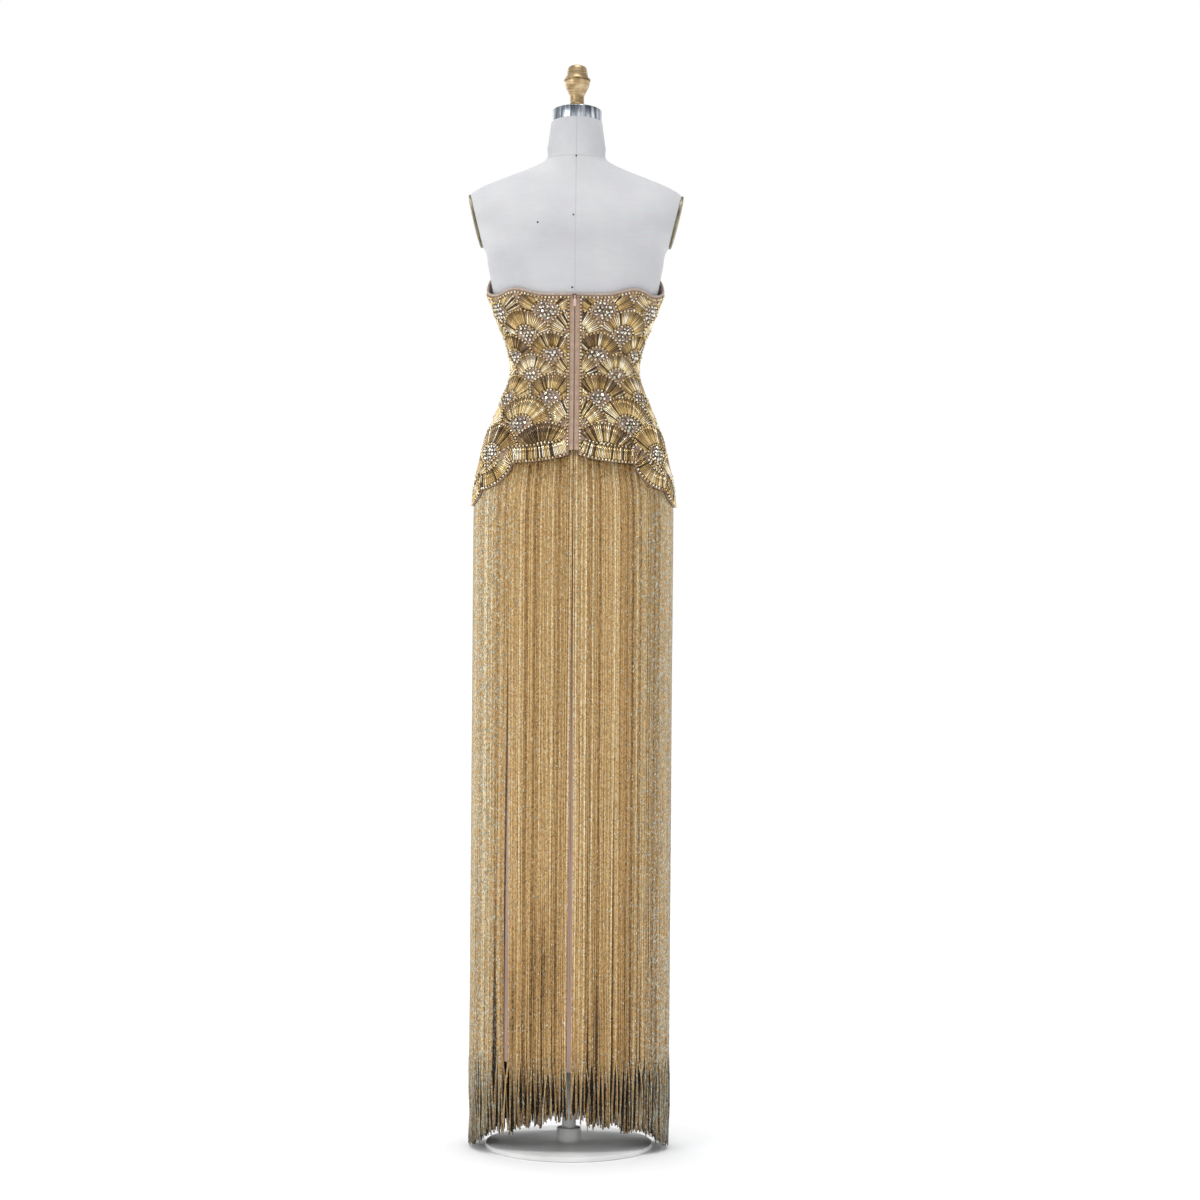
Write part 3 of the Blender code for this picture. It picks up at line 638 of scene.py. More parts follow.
def set_screw():
    """A grub screw with a hexagonal socket, standing a little out of the finial's stem."""
    outward = Vector((math.sin(SCREW_TURN), -math.cos(SCREW_TURN), 0))
    seat = on_cap @ face_out(outward * SCREW_OUT + Vector((0, 0, SCREW_HEIGHT)), outward)
    bm = bmesh.new()
    bmesh.ops.create_cone(
        bm,
        cap_ends=True,
        segments=24,
        radius1=SCREW_RADIUS,
        radius2=SCREW_RADIUS * SCREW_TAPER,
        depth=SCREW_LENGTH,
    )
    top = max(bm.faces, key=lambda face: face.calc_center_median().z)
    bmesh.ops.inset_region(bm, faces=[top], thickness=SCREW_RADIUS * SOCKET_INSET)
    bmesh.ops.translate(bm, verts=top.verts, vec=(0, 0, -SOCKET_DEPTH))
    bmesh.ops.transform(bm, matrix=seat, verts=bm.verts)
    return bm


finish_piece(set_screw(), "finial_set_screw", blackened_steel(), [])


# Underskirt: two back pieces and a front of mauve crepe-back satin, hung from the waist
# inside the bodice and straight from the hips, where its own weight draws soft folds.
EASE = (
    (1.050, 0.0095, 0.0095, 0.0095),
    (1.240, 0.0095, 0.0095, 0.0095),
    (1.285, 0.0095, 0.0095, 0.0095),
    (1.315, 0.0075, 0.0075, 0.0075),
    (1.350, 0.0040, 0.0040, 0.0040),
    (1.390, 0.0032, 0.0032, 0.0032),
    (1.460, 0.0036, 0.0034, 0.0036),
    (1.500, 0.0055, 0.0044, 0.0048),
    (1.540, 0.0105, 0.0048, 0.0052),
    (1.600, 0.0125, 0.0050, 0.0055),
)
HIP_HEIGHT = 1.140
CUP_SWELL = 0.027
SIDE_SEAM_ANGLE = 0.07
UNDERSKIRT_TOP = 1.275
UNDERSKIRT_HEM = ((0, 0.150), (44, 0.166), (90, 0.160), (180, 0.156))
UNDERSKIRT_INSET = 0.0066
SATIN_WALL = 0.0010
UNDERSKIRT_ROWS = 56
UNDERSKIRT_STEP = 1.5
# Folds: angle at the hem, lean in degrees a metre, half width in degrees,
# depth at the hem, height where it starts.
FOLDS = (
    (-172, 3, 5.0, 0.0060, 0.95),
    (-151, -4, 7.0, 0.0042, 0.70),
    (-127, 5, 4.5, 0.0066, 1.02),
    (-104, 2, 6.0, 0.0038, 0.62),
    (-78, -5, 4.0, 0.0060, 0.88),
    (-55, 3, 6.5, 0.0045, 0.74),
    (-33, -2, 4.0, 0.0058, 0.98),
    (-13, 4, 5.0, 0.0036, 0.55),
    (9, -3, 3.5, 0.0052, 0.80),
    (29, 3, 6.0, 0.0044, 0.66),
    (50, -5, 4.5, 0.0062, 1.00),
    (73, 2, 5.5, 0.0040, 0.72),
    (97, 4, 4.0, 0.0064, 0.93),
    (121, -3, 7.0, 0.0040, 0.60),
    (143, 5, 4.5, 0.0058, 0.97),
    (163, -2, 5.5, 0.0046, 0.78),
)


def gown_sizes(height, inset):
    """Half width, depths and roundness of the gown, which falls straight below the hips."""
    level = np.maximum(height, HIP_HEIGHT)
    half_width, _, back, front, roundness = read_table(FIGURE, level)
    side_ease, back_ease, front_ease = read_table(EASE, level)
    return (
        half_width + side_ease - inset,
        back + back_ease - inset,
        front + front_ease - inset,
        roundness,
    )


def gown_point(angle, height, inset=0.0):
    """Points of the gown's outer face, or of a layer that lies inset behind it."""
    x, y = section_point(*gown_sizes(height, inset), angle)
    return swelled(x, y, height, angle, CUP_SWELL)


def angle_at_x(x, height, inset=0.0):
    """Angles at which the back of a layer is x from the centre back."""
    half_width, _, _, roundness = gown_sizes(height, inset)
    return np.degrees(np.arcsin((x / half_width) ** (roundness / 2)))


def cloth_panel(columns, rows, flat, place):
    """A closed thin shell of cloth. place(column, row, skin) gives its corners, skin 0 the
    outer face, and the UV map lays the panel flat, in metres."""
    bm = bmesh.new()
    skin = bm.verts.layers.int.new("skin")
    layer = bm.loops.layers.uv.new("cloth")
    to_columns = Matrix.Diagonal((columns - 1, rows - 1, 1, 1)) @ Matrix.Translation((0.5, 0.5, 0))
    bmesh.ops.create_grid(
        bm, x_segments=columns - 1, y_segments=rows - 1, size=0.5, matrix=to_columns
    )
    outer = list(bm.verts) + list(bm.edges) + list(bm.faces)
    for part in bmesh.ops.extrude_face_region(bm, geom=outer, use_keep_orig=True)["geom"]:
        if isinstance(part, bmesh.types.BMVert):
            part[skin] = 1
    spots = np.array([(round(v.co.x), round(v.co.y), v[skin]) for v in bm.verts])
    bm.verts.index_update()
    for face in bm.faces:
        for loop in face.loops:
            column, row, _ = spots[loop.vert.index]
            loop[layer].uv = (column / (columns - 1) * flat[0], row / (rows - 1) * flat[1])
    for corner, point in zip(bm.verts, place(spots[:, 0], spots[:, 1], spots[:, 2])):
        corner.co = point
    return bm


def fold_depth(angle, height):
    """How far the underskirt's folds draw it in, never out, towards the hem."""
    depth = 0
    for at_hem, lean, half_width, deepest, start in FOLDS:
        off = angle - at_hem - lean * height
        off = (off + 180) % 360 - 180
        fall = np.clip((start - height) / (start - UNDERSKIRT_HEM[0][1]), 0, 1)
        depth = depth + deepest * np.exp(-((off / half_width) ** 2)) * fall * fall * (3 - 2 * fall)
    return depth


def satin():
    """Crepe-back satin, woven from fine polyester floats: a mauve nude with a soft sheen
    down the floats, a faint twill line and paler and darker upright streaks."""
    made, tree, shader = new_material(
        "mauve_satin", {"Sheen Weight": 0.45, "Sheen Roughness": 0.35, "Anisotropic": 0.4}
    )
    cloth = add_node(tree, "UVMap", {"uv_map": "cloth"}, {})
    slanted = add_node(tree, "Mapping", {}, {"Vector": cloth, "Rotation": (0, 0, 1.1)})
    line = add_node(tree, "TexWave", {}, {"Vector": slanted, "Scale": 170.0, "Distortion": 0.6})
    drawn = add_node(tree, "Mapping", {}, {"Vector": cloth, "Scale": (60.0, 3.0, 1.0)})
    cloud = add_node(tree, "TexNoise", {}, {"Vector": drawn, "Scale": 1.0, "Detail": 4.0})
    tint = add_node(
        tree,
        "ValToRGB",
        {"stops": ((0.3, "#B09282"), (0.55, "#C3A697"), (0.8, "#D2B9AC"))},
        {"Fac": cloud},
    )
    rough = add_node(tree, "MapRange", {}, {"Value": line, "To Min": 0.42, "To Max": 0.58})
    relief = add_node(
        tree, "Bump", {}, {"Strength": 0.2, "Distance": 0.0001, "Height": line}
    )
    set_inputs(tree, shader, {"Base Color": tint, "Roughness": rough, "Normal": relief})
    return made


def underskirt_piece(first, last, side, flat):
    """One piece, from an angle to another; a first angle of 0 is the centre back seam."""
    columns = round((last - first) / UNDERSKIRT_STEP) + 1

    def place(column, row, skin):
        angle = first + (last - first) * column / (columns - 1)
        folded = np.where(angle > 180, angle - 360, angle)
        hem = read_table(UNDERSKIRT_HEM, np.abs(folded))[0]
        height = UNDERSKIRT_TOP + (hem - UNDERSKIRT_TOP) * row / (UNDERSKIRT_ROWS - 1)
        inset = UNDERSKIRT_INSET + SATIN_WALL * skin + fold_depth(side * folded, height)
        if first == 0:
            seam = angle_at_x(SEAM_GAP, height, inset)
            folded = np.where(column == 0, seam, folded)
        return gown_point(side * folded, height, inset)

    return cloth_panel(columns, UNDERSKIRT_ROWS, flat, place)


mauve_satin = satin()
UNDERSKIRT_PIECES = (
    ("back_left", 0, 90 - SIDE_SEAM_ANGLE, -1, (0.234, 1.126), 0.2600),
    ("back_right", 0, 90 - SIDE_SEAM_ANGLE, 1, (0.234, 1.126), 0.2600),
    ("front", 90 + SIDE_SEAM_ANGLE, 270 - SIDE_SEAM_ANGLE, 1, (0.455, 1.120), 0.5000),
)
for word, first, last, side, flat, area in UNDERSKIRT_PIECES:
    skirt_piece = finish_piece(
        underskirt_piece(first, last, side, flat),
        f"satin_underskirt_{word}",
        mauve_satin,
        [f"underskirt_{word}"],
    )


# Bodice: five panels of nude stretch mesh on a firm lining, drawn tight over the form.
# Beads cover nearly all of it, and the seams lie under them.
NECKLINE = (
    (0.0, 1.5260),
    (22.0, 1.5270),
    (41.0, 1.5370),
    (62.0, 1.5280),
    (80.0, 1.5320),
    (95.0, 1.5410),
    (112.0, 1.5630),
    (130.0, 1.5800),
    (148.0, 1.5850),
    (166.0, 1.5730),
    (180.0, 1.5600),
)
SCALLOPS = (
    (0.0, 37.5, 1.2470, 1.2245),
    (37.5, 65.0, 1.2245, 1.1780),
    (65.0, 90.0, 1.1780, 1.1500),
)
PIPING_RADIUS = 0.0023
BELOW_PIPING = 2 * PIPING_RADIUS + 2 * SEAM_GAP
TAPE_HALF_WIDTH = 0.0088
ZIP_EDGE_ANGLE = 2.7
CUP_SEAM = 142.5
CUP_SEAM_ANGLE = 0.1
MESH_WALL = 0.0012
BODICE_ROWS = 44
BODICE_STEP = 1.25
# Drag lines across the stretched cloth: angle, height, half length in degrees, half width
# in metres, depth.
DRAG_LINES = (
    (24, 1.392, 16, 0.0050, 0.0008),
    (-31, 1.401, 14, 0.0045, 0.0009),
    (62, 1.383, 18, 0.0060, 0.0007),
    (-70, 1.389, 15, 0.0050, 0.0008),
    (118, 1.396, 20, 0.0055, 0.0009),
    (-109, 1.405, 17, 0.0050, 0.0007),
    (160, 1.388, 14, 0.0050, 0.0008),
    (-168, 1.402, 16, 0.0060, 0.0009),
    (84, 1.452, 12, 0.0040, 0.0006),
    (-92, 1.461, 13, 0.0045, 0.0006),
)


def lower_edge(angle):
    """Height of the bodice's scalloped lower edge: each scallop drops steeply, then levels."""
    folded = np.minimum(np.abs(angle), 180 - np.abs(angle))
    height = np.full(np.shape(folded), SCALLOPS[-1][3])
    for first, last, start, end in reversed(SCALLOPS):
        rest = np.clip(1 - (folded - first) / (last - first), 0, 1)
        height = np.where(folded <= last, end + (start - end) * (1 - np.sqrt(1 - rest**2)), height)
    return height


def mesh_top(angle):
    """Height of the top edge of the bodice's mesh, just below the piping."""
    return read_table(NECKLINE, np.abs(angle))[0] - BELOW_PIPING


def drawn_in(angle, height):
    """How far the drag lines draw the bodice in."""
    depth = 0
    for across, level, half_length, half_width, deepest in DRAG_LINES:
        off = (angle - across + 180) % 360 - 180
        line = np.exp(-((off / half_length) ** 2) - ((height - level) / half_width) ** 2)
        depth = depth + deepest * line
    return depth


def nude_mesh():
    """Nude power mesh over crepe: knitted nylon with a fine open net (drawn at 2.4 mm, so
    that it shows), matt, with the crepe showing pinker through the holes."""
    made, tree, shader = new_material(
        "nude_power_mesh", {"Sheen Weight": 0.3, "Sheen Roughness": 0.5, "Specular IOR Level": 0.3}
    )
    cloth = add_node(tree, "UVMap", {"uv_map": "cloth"}, {})
    net = add_node(
        tree, "TexVoronoi", {"feature": "DISTANCE_TO_EDGE"}, {"Vector": cloth, "Scale": 420.0}
    )
    cloud = add_node(tree, "TexNoise", {}, {"Vector": cloth, "Scale": 30.0, "Detail": 4.0})
    holes = add_node(
        tree, "MapRange", {}, {"Value": net, "From Min": 0.05, "From Max": 0.25, "To Max": 1.0}
    )
    tint = add_node(tree, "ValToRGB", {"stops": ((0.3, "#A98D80"), (0.7, "#BFA595"))}, {"Fac": cloud})
    netted = add_node(
        tree, "Mix", {"data_type": "RGBA"}, {"Factor": holes, "A": tint, "B": linear("#9A7D70")}
    )
    rough = add_node(tree, "MapRange", {}, {"Value": cloud, "To Min": 0.65, "To Max": 0.85})
    relief = add_node(
        tree, "Bump", {"invert": True}, {"Strength": 0.4, "Distance": 0.0002, "Height": holes}
    )
    set_inputs(tree, shader, {"Base Color": netted, "Roughness": rough, "Normal": relief})
    return made


def bodice_panel(first, last, side, flat, at_zip):
    """One cut piece of the bodice, from the piping down to the scallops."""
    columns = round((last - first) / BODICE_STEP) + 1

    def place(column, row, skin):
        nominal = first + (last - first) * column / (columns - 1)
        angle = np.where(nominal > 180, nominal - 360, nominal)
        top = mesh_top(angle)
        height = top + (lower_edge(angle) - top) * row / (BODICE_ROWS - 1)
        inset = MESH_WALL * skin + drawn_in(side * angle, height)
        if at_zip:
            edge = angle_at_x(TAPE_HALF_WIDTH + SEAM_GAP, height, inset)
            angle = np.where(column == 0, edge, angle)
        return gown_point(side * angle, height, inset)

    return cloth_panel(columns, BODICE_ROWS, flat, place)


power_mesh = nude_mesh()
side_edge = 90 + SIDE_SEAM_ANGLE
cup_edge = CUP_SEAM - CUP_SEAM_ANGLE
front_edge = CUP_SEAM + CUP_SEAM_ANGLE
BODICE_PANELS = (
    ("back_left", ZIP_EDGE_ANGLE, 90 - SIDE_SEAM_ANGLE, -1, (0.215, 0.372), 0.0560),
    ("back_right", ZIP_EDGE_ANGLE, 90 - SIDE_SEAM_ANGLE, 1, (0.215, 0.372), 0.0560),
    ("side_front_left", side_edge, cup_edge, -1, (0.125, 0.425), 0.0400),
    ("side_front_right", side_edge, cup_edge, 1, (0.125, 0.425), 0.0400),
    ("centre_front", front_edge, 360 - CUP_SEAM - CUP_SEAM_ANGLE, 1, (0.200, 0.370), 0.0650),
)
for word, first, last, side, flat, area in BODICE_PANELS:
    panel = finish_piece(
        bodice_panel(first, last, side, flat, "back" in word),
        f"mesh_bodice_{word}",
        power_mesh,
        [f"bodice_{word}"],
    )


# Piping: a cotton cord in a bias strip of nude satin, sewn in round the top edge from one
# side of the zip to the other.
PIPING_INSET = 0.0010
PIPING_END = 0.0048


def nude_satin():
    """Bias-cut nude satin: the floats lie slantwise round the cord, so a fine diagonal runs
    along it, with a soft sheen and small puckers where it is sewn in."""
    made, tree, shader = new_material("nude_bias_satin", {"Sheen Weight": 0.4, "Sheen Roughness": 0.4})
    place = add_node(tree, "TexCoord", {}, {}).outputs["Object"]
    slant = add_node(tree, "Mapping", {}, {"Vector": place, "Rotation": (0.7, 0.5, 0.3)})
    line = add_node(tree, "TexWave", {}, {"Vector": slant, "Scale": 190.0, "Distortion": 1.0})
    pucker = add_node(tree, "TexNoise", {}, {"Vector": place, "Scale": 260.0, "Detail": 2.0})
    tint = add_node(tree, "ValToRGB", {"stops": ((0.3, "#A8917F"), (0.7, "#C4B1A2"))}, {"Fac": pucker})
    height = add_node(tree, "Math", {"operation": "MULTIPLY_ADD"}, {0: pucker, 1: 2.0, 2: line})
    rough = add_node(tree, "MapRange", {}, {"Value": line, "To Min": 0.45, "To Max": 0.62})
    relief = add_node(
        tree, "Bump", {}, {"Strength": 0.4, "Distance": 0.0002, "Height": height}
    )
    set_inputs(tree, shader, {"Base Color": tint, "Roughness": rough, "Normal": relief})
    return made


def cord_mesh(name, points, radius):
    """A round cord along a line of points, closed at its ends."""
    curve = bpy.data.curves.new(name, "CURVE")
    curve.dimensions = "3D"
    curve.bevel_depth = radius
    curve.bevel_resolution = 3
    curve.use_fill_caps = True
    spline = curve.splines.new("POLY")
    spline.points.add(len(points) - 1)
    for corner, point in zip(spline.points, points):
        corner.co = (*point, 1)
    guide = bpy.data.objects.new(name, curve)
    bpy.context.scene.collection.objects.link(guide)
    mesh = bpy.data.meshes.new_from_object(guide)
    bpy.data.objects.remove(guide)
    mesh.materials.clear()
    mesh.shade_smooth()
    return mesh


piping_start = float(angle_at_x(PIPING_END, NECKLINE[0][1]))
piping_angles = np.linspace(piping_start, 360 - piping_start, 300)
piping_angles = np.where(piping_angles > 180, piping_angles - 360, piping_angles)
piping_heights = mesh_top(piping_angles) + BELOW_PIPING - PIPING_RADIUS
neck_satin = nude_satin()
place_piece(
    cord_mesh(
        "satin_piping", gown_point(piping_angles, piping_heights, PIPING_INSET), PIPING_RADIUS
    ),
    "satin_piping",
    neck_satin,
    ["neckline_piping"],
)


# Zip: an invisible zip down the centre back. Its two mauve polyester tapes are folded back
# along the middle, and the nylon coil shows as a fine raised line between the folds.
TAPE_WALL = 0.0012
TAPE_ROWS = 90
# How far each column of a tape lies from the centre back, and behind the gown's face.
TAPE_COLUMNS = (
    (0.0088, 0.0000),
    (0.0070, 0.0000),
    (0.0048, 0.0000),
    (0.0030, -0.0004),
    (0.0020, -0.0008),
    (0.0013, -0.0007),
    (0.0010, -0.0002),
)
TAPE_FLAT = (0.0080, 0.276)
COIL_PITCH = 0.0016
COIL_RADIUS = 0.00045
COIL_SWING = 0.00055
COIL_INSET = -0.0001
COIL_TOP = 1.512
COIL_ABOVE_EDGE = 0.002


def zip_twill():
    """Zip tape: herringbone-woven polyester, dyed mauve and heat set flat, matt with a
    crisp fine rib."""
    made, tree, shader = new_material("zip_twill", {"Sheen Weight": 0.2, "Specular IOR Level": 0.35})
    cloth = add_node(tree, "UVMap", {"uv_map": "cloth"}, {})
    slant = add_node(tree, "Mapping", {}, {"Vector": cloth, "Rotation": (0, 0, 0.8)})
    rib = add_node(tree, "TexWave", {}, {"Vector": slant, "Scale": 190.0})
    cloud = add_node(tree, "TexNoise", {}, {"Vector": cloth, "Scale": 90.0, "Detail": 3.0})
    tint = add_node(tree, "ValToRGB", {"stops": ((0.3, "#A98C78"), (0.7, "#BFA48F"))}, {"Fac": cloud})
    rough = add_node(tree, "MapRange", {}, {"Value": rib, "To Min": 0.6, "To Max": 0.8})
    relief = add_node(
        tree, "Bump", {}, {"Strength": 0.4, "Distance": 0.00015, "Height": rib}
    )
    set_inputs(tree, shader, {"Base Color": tint, "Roughness": rough, "Normal": relief})
    return made


def zip_tape(side):
    """One tape, with its folded inner edge standing up beside the coil."""
    top = NECKLINE[0][1] - BELOW_PIPING
    bottom = SCALLOPS[0][2]
    offsets = np.array(TAPE_COLUMNS)

    def place(column, row, skin):
        height = top + (bottom - top) * row / (TAPE_ROWS - 1)
        inset = np.where(skin == 1, TAPE_WALL, offsets[column, 1])
        return gown_point(side * angle_at_x(offsets[column, 0], height, inset), height, inset)

    return cloth_panel(len(TAPE_COLUMNS), TAPE_ROWS, TAPE_FLAT, place)


def nylon_coil():
    """Zip coil: extruded nylon monofilament, dyed to the tape, smooth with a small gloss."""
    made, tree, shader = new_material("nylon_coil", {"IOR": 1.53, "Subsurface Weight": 0.1})
    place = add_node(tree, "TexCoord", {}, {}).outputs["Object"]
    cloud = add_node(tree, "TexNoise", {}, {"Vector": place, "Scale": 500.0})
    tint = add_node(tree, "ValToRGB", {"stops": ((0.3, "#9A7C69"), (0.7, "#B39681"))}, {"Fac": cloud})
    rough = add_node(tree, "MapRange", {}, {"Value": cloud, "To Min": 0.28, "To Max": 0.45})
    set_inputs(tree, shader, {"Base Color": tint, "Roughness": rough})
    return made


twill = zip_twill()
for side, word in ((-1, "left"), (1, "right")):
    finish_piece(
        zip_tape(side), f"twill_zip_tape_{word}", twill, [f"zip_tape_{word}"]
    )


def zip_coil():
    """A zigzag of coil from fold to fold, from the slider down to the bodice's edge."""
    heights = np.arange(SCALLOPS[0][2] + COIL_ABOVE_EDGE, COIL_TOP, COIL_PITCH / 2)
    points = gown_point(0.0 * heights, heights, COIL_INSET)
    points[:, 0] = np.where(np.arange(len(heights)) % 2, COIL_SWING, -COIL_SWING)
    return cord_mesh("nylon_zip_coil", points, COIL_RADIUS)


place_piece(zip_coil(), "nylon_zip_coil", nylon_coil(), [])


def lacquered_zinc(name, darker, lighter, metal, coat):
    """Die-cast zinc in a lacquer: smooth and even, rounded at its edges, with small
    scuffs that dull the gloss."""
    made, tree, shader = new_material(name, {"Metallic": metal, "Coat Weight": coat})
    place = add_node(tree, "TexCoord", {}, {}).outputs["Object"]
    scuff = add_node(tree, "TexNoise", {}, {"Vector": place, "Scale": 700.0, "Detail": 4.0})
    tint = add_node(tree, "ValToRGB", {"stops": ((0.3, darker), (0.7, lighter))}, {"Fac": scuff})
    rough = add_node(tree, "MapRange", {}, {"Value": scuff, "To Min": 0.25, "To Max": 0.45})
    set_inputs(tree, shader, {"Base Color": tint, "Roughness": rough})
    return made


slider_finish = lacquered_zinc("lacquered_zinc", "#584238", "#7C6152", 0.9, 0.2)
pull_finish = lacquered_zinc("pink_enamelled_zinc", "#CDA598", "#E3C4B8", 0.1, 0.5)
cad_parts["zip_slider"].material_slots[0].material = slider_finish
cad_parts["zip_pull"].material_slots[0].material = pull_finish


# Beadwork: an all-over pattern of overlapping fans, a traditional scale pattern. Gold bugle
# beads radiate in each fan round a half-round of foiled crystals, round gold beads outline
# it, and a border of bugles follows the scallops. All are sewn to the mesh by hand.
FANS_ROUND = 8
FAN_WIDTH = 0.585
FAN_RISE = 0.80
# Tones of the fans in turn: painted light, some fans lighter and some darker, as if each caught the
# light its own way.
FAN_TONES = (0.70, 0.44, 0.82, 0.56)
CRYSTAL_SHARE = 0.45
LOWEST_FANS = 1.176
HIGHEST_FANS = 1.600
BORDER_DEPTH = 0.0275
BUGLE_RADIUS = 0.00120
BUGLE_PITCH = 0.0030
PITCH_MEASURED_AT = 0.74
SHORTEST_BUGLE = 0.0045
BUGLE_SAMPLES = 45
# Round beads by kind: gold, the dark beads between them, which are painted shadow, small gold fillers.
BEAD_RADII = (0.0021, 0.00115, 0.0014)
FILLER_PITCH = 0.0040
FILLER_CLEAR = 0.0050
BEAD_PITCH = 0.0062
CRYSTAL_PITCH = 0.0076
CRYSTAL_SIZES = (0.0027, 0.0036)
DROP_SHARE = 0.45
DROP_LENGTH = 1.45
ROW_RISE = 0.87
EDGE_STEP = 0.0006
ZIP_BEADS_OFF = 0.0109
ZIP_CLEAR = 0.0129
NECK_BEADS_BELOW = 0.0026
NECK_CLEAR = 0.0052
PLACES_UP = np.linspace(1.140, 1.600, 93)
PLACES_ROUND = np.linspace(0, 180, 361)
SHARES = np.linspace(0, 1, 241)
bead_draws = np.random.default_rng(5)


def round_the_bodice():
    """At each height, the girth from centre back to centre front, and the angle at each
    share of it."""
    girths, angles = [], []
    for height in PLACES_UP:
        line = gown_point(PLACES_ROUND, np.full(len(PLACES_ROUND), height))
        steps = np.linalg.norm(np.diff(line, axis=0), axis=1)
        run = np.concatenate(((0.0,), np.cumsum(steps)))
        girths.append(run[-1])
        angles.append(np.interp(SHARES, run / run[-1], PLACES_ROUND))
    return np.array(girths), np.array(angles)


bodice_girths, share_angles = round_the_bodice()


def nearer_way(girth, half_round):
    """A signed girth from the centre back, counted the nearer way round."""
    return (girth + half_round) % (2 * half_round) - half_round


def girth_at(height):
    """Girth from centre back to centre front at a height."""
    return np.interp(height, PLACES_UP, bodice_girths)


def bodice_angle(girth, height):
    """The angle at signed girths from the centre back, measured at heights."""
    share = girth / girth_at(height)
    share = (share + 1) % 2 - 1
    up = np.clip((height - PLACES_UP[0]) / (PLACES_UP[1] - PLACES_UP[0]), 0, len(PLACES_UP) - 1.001)
    along = np.abs(share) * (len(SHARES) - 1.001)
    i, j = up.astype(int), along.astype(int)
    u, v = up - i, along - j
    low = share_angles[i, j] * (1 - v) + share_angles[i, j + 1] * v
    high = share_angles[i + 1, j] * (1 - v) + share_angles[i + 1, j + 1] * v
    return np.sign(share) * (low * (1 - u) + high * u)


def on_bodice(girth, height):
    """Points of the mesh's outer face and the directions square to it."""
    girth, height = np.broadcast_arrays(np.asarray(girth, float), np.asarray(height, float))
    angle = bodice_angle(girth, height)
    here = gown_point(angle, height, drawn_in(angle, height))
    beside = gown_point(angle + 0.4, height, drawn_in(angle + 0.4, height)) - here
    above = gown_point(angle, height + 0.002, drawn_in(angle, height + 0.002)) - here
    outward = np.cross(beside, above)
    return here, outward / np.linalg.norm(outward, axis=-1, keepdims=True)


def edge_line():
    """The scalloped edge as girth and height, and the direction up from it, fanned out
    round the cusps."""
    angles = np.linspace(-180, 180, 2881)
    heights = lower_edge(angles)
    girth = []
    for angle, height in zip(angles, heights):
        row = np.interp(height, PLACES_UP, np.arange(float(len(PLACES_UP))))
        low = share_angles[int(row)]
        girth.append(math.copysign(np.interp(abs(angle), low, SHARES), angle) * girth_at(height))
    line = np.stack((np.array(girth), heights), axis=1)
    length = np.concatenate(((0.0,), np.cumsum(np.hypot(*np.diff(line, axis=0).T))))
    even = np.arange(0, length[-1], EDGE_STEP)
    line = np.stack([np.interp(even, length, line[:, k]) for k in (0, 1)], axis=1)
    slope = np.gradient(line, axis=0)
    window = np.hanning(41)
    slope = np.stack([np.convolve(slope[:, k], window, "same") for k in (0, 1)], axis=1)
    slope /= np.linalg.norm(slope, axis=1, keepdims=True)
    return line, np.stack((-slope[:, 1], slope[:, 0]), axis=1)


scallop_line, scallop_up = edge_line()
coarse_line = scallop_line[::3]


def off_edge(girth, height):
    """How far points lie from the scalloped edge."""
    flat = np.stack((girth.ravel(), height.ravel()), axis=1)
    nearest = [
        np.hypot(coarse_line[:, 0] - g, coarse_line[:, 1] - h).min() if h < 1.34 else 1.0
        for g, h in flat
    ]
    return np.array(nearest).reshape(girth.shape)


def in_field(girth, height, margin=0.0):
    """Whether points lie in the field of fans, clear of the zip, the neckline and the border."""
    angle = bodice_angle(girth, height)
    clear = (np.abs(girth) > ZIP_CLEAR + margin) & (height < mesh_top(angle) - NECK_CLEAR - margin)
    clear &= height > lower_edge(angle) + 0.5 * BORDER_DEPTH
    clear[clear] = off_edge(girth[clear], height[clear]) > BORDER_DEPTH + 0.0032 + margin
    return clear


def fan_rows():
    """The fans, the lowest and foremost first: share of the girth, height, outer radius, tone."""
    fans = []
    height = LOWEST_FANS
    row = 0
    while height < HIGHEST_FANS:
        width = 2 * float(girth_at(height)) / FANS_ROUND
        radius = FAN_WIDTH * width
        for number in range(FANS_ROUND):
            share = -1 + (2 * number + row % 2) / FANS_ROUND
            tone = FAN_TONES[(row + 2 * (abs(round(share * 4)) % 2)) % 4]
            fans.append((share, height, radius, tone + float(bead_draws.normal(0, 0.03))))
        height += FAN_RISE * radius
        row += 1
    return fans


fans = fan_rows()


def covered(girth, height, number, margin=0.0):
    """Whether points are hidden by a fan that lies in front of this one."""
    hidden = np.zeros(girth.shape, bool)
    full = girth_at(height)
    for share, middle, radius, _ in fans[:number]:
        off = (girth / full - share + 1) % 2 - 1
        hidden |= np.hypot(off * full, height - middle) < radius + margin
    return hidden


def round_fan(fan, radius, turn):
    """Girths and heights at a distance and a turn from the fan's centre."""
    share, middle, _, _ = fan
    height = middle + radius * np.cos(turn)
    return share * girth_at(height) + radius * np.sin(turn), height


def longest_runs(seen):
    """First and last sample of the longest unbroken run in each row, or -1."""
    runs = np.full((len(seen), 2), -1)
    for row, flags in enumerate(seen):
        start = None
        for i, flag in enumerate(np.append(flags, False)):
            if flag and start is None:
                start = i
            if not flag and start is not None:
                if i - 1 - start > runs[row, 1] - runs[row, 0] or runs[row, 0] < 0:
                    runs[row] = (start, i - 1)
                start = None
    return runs


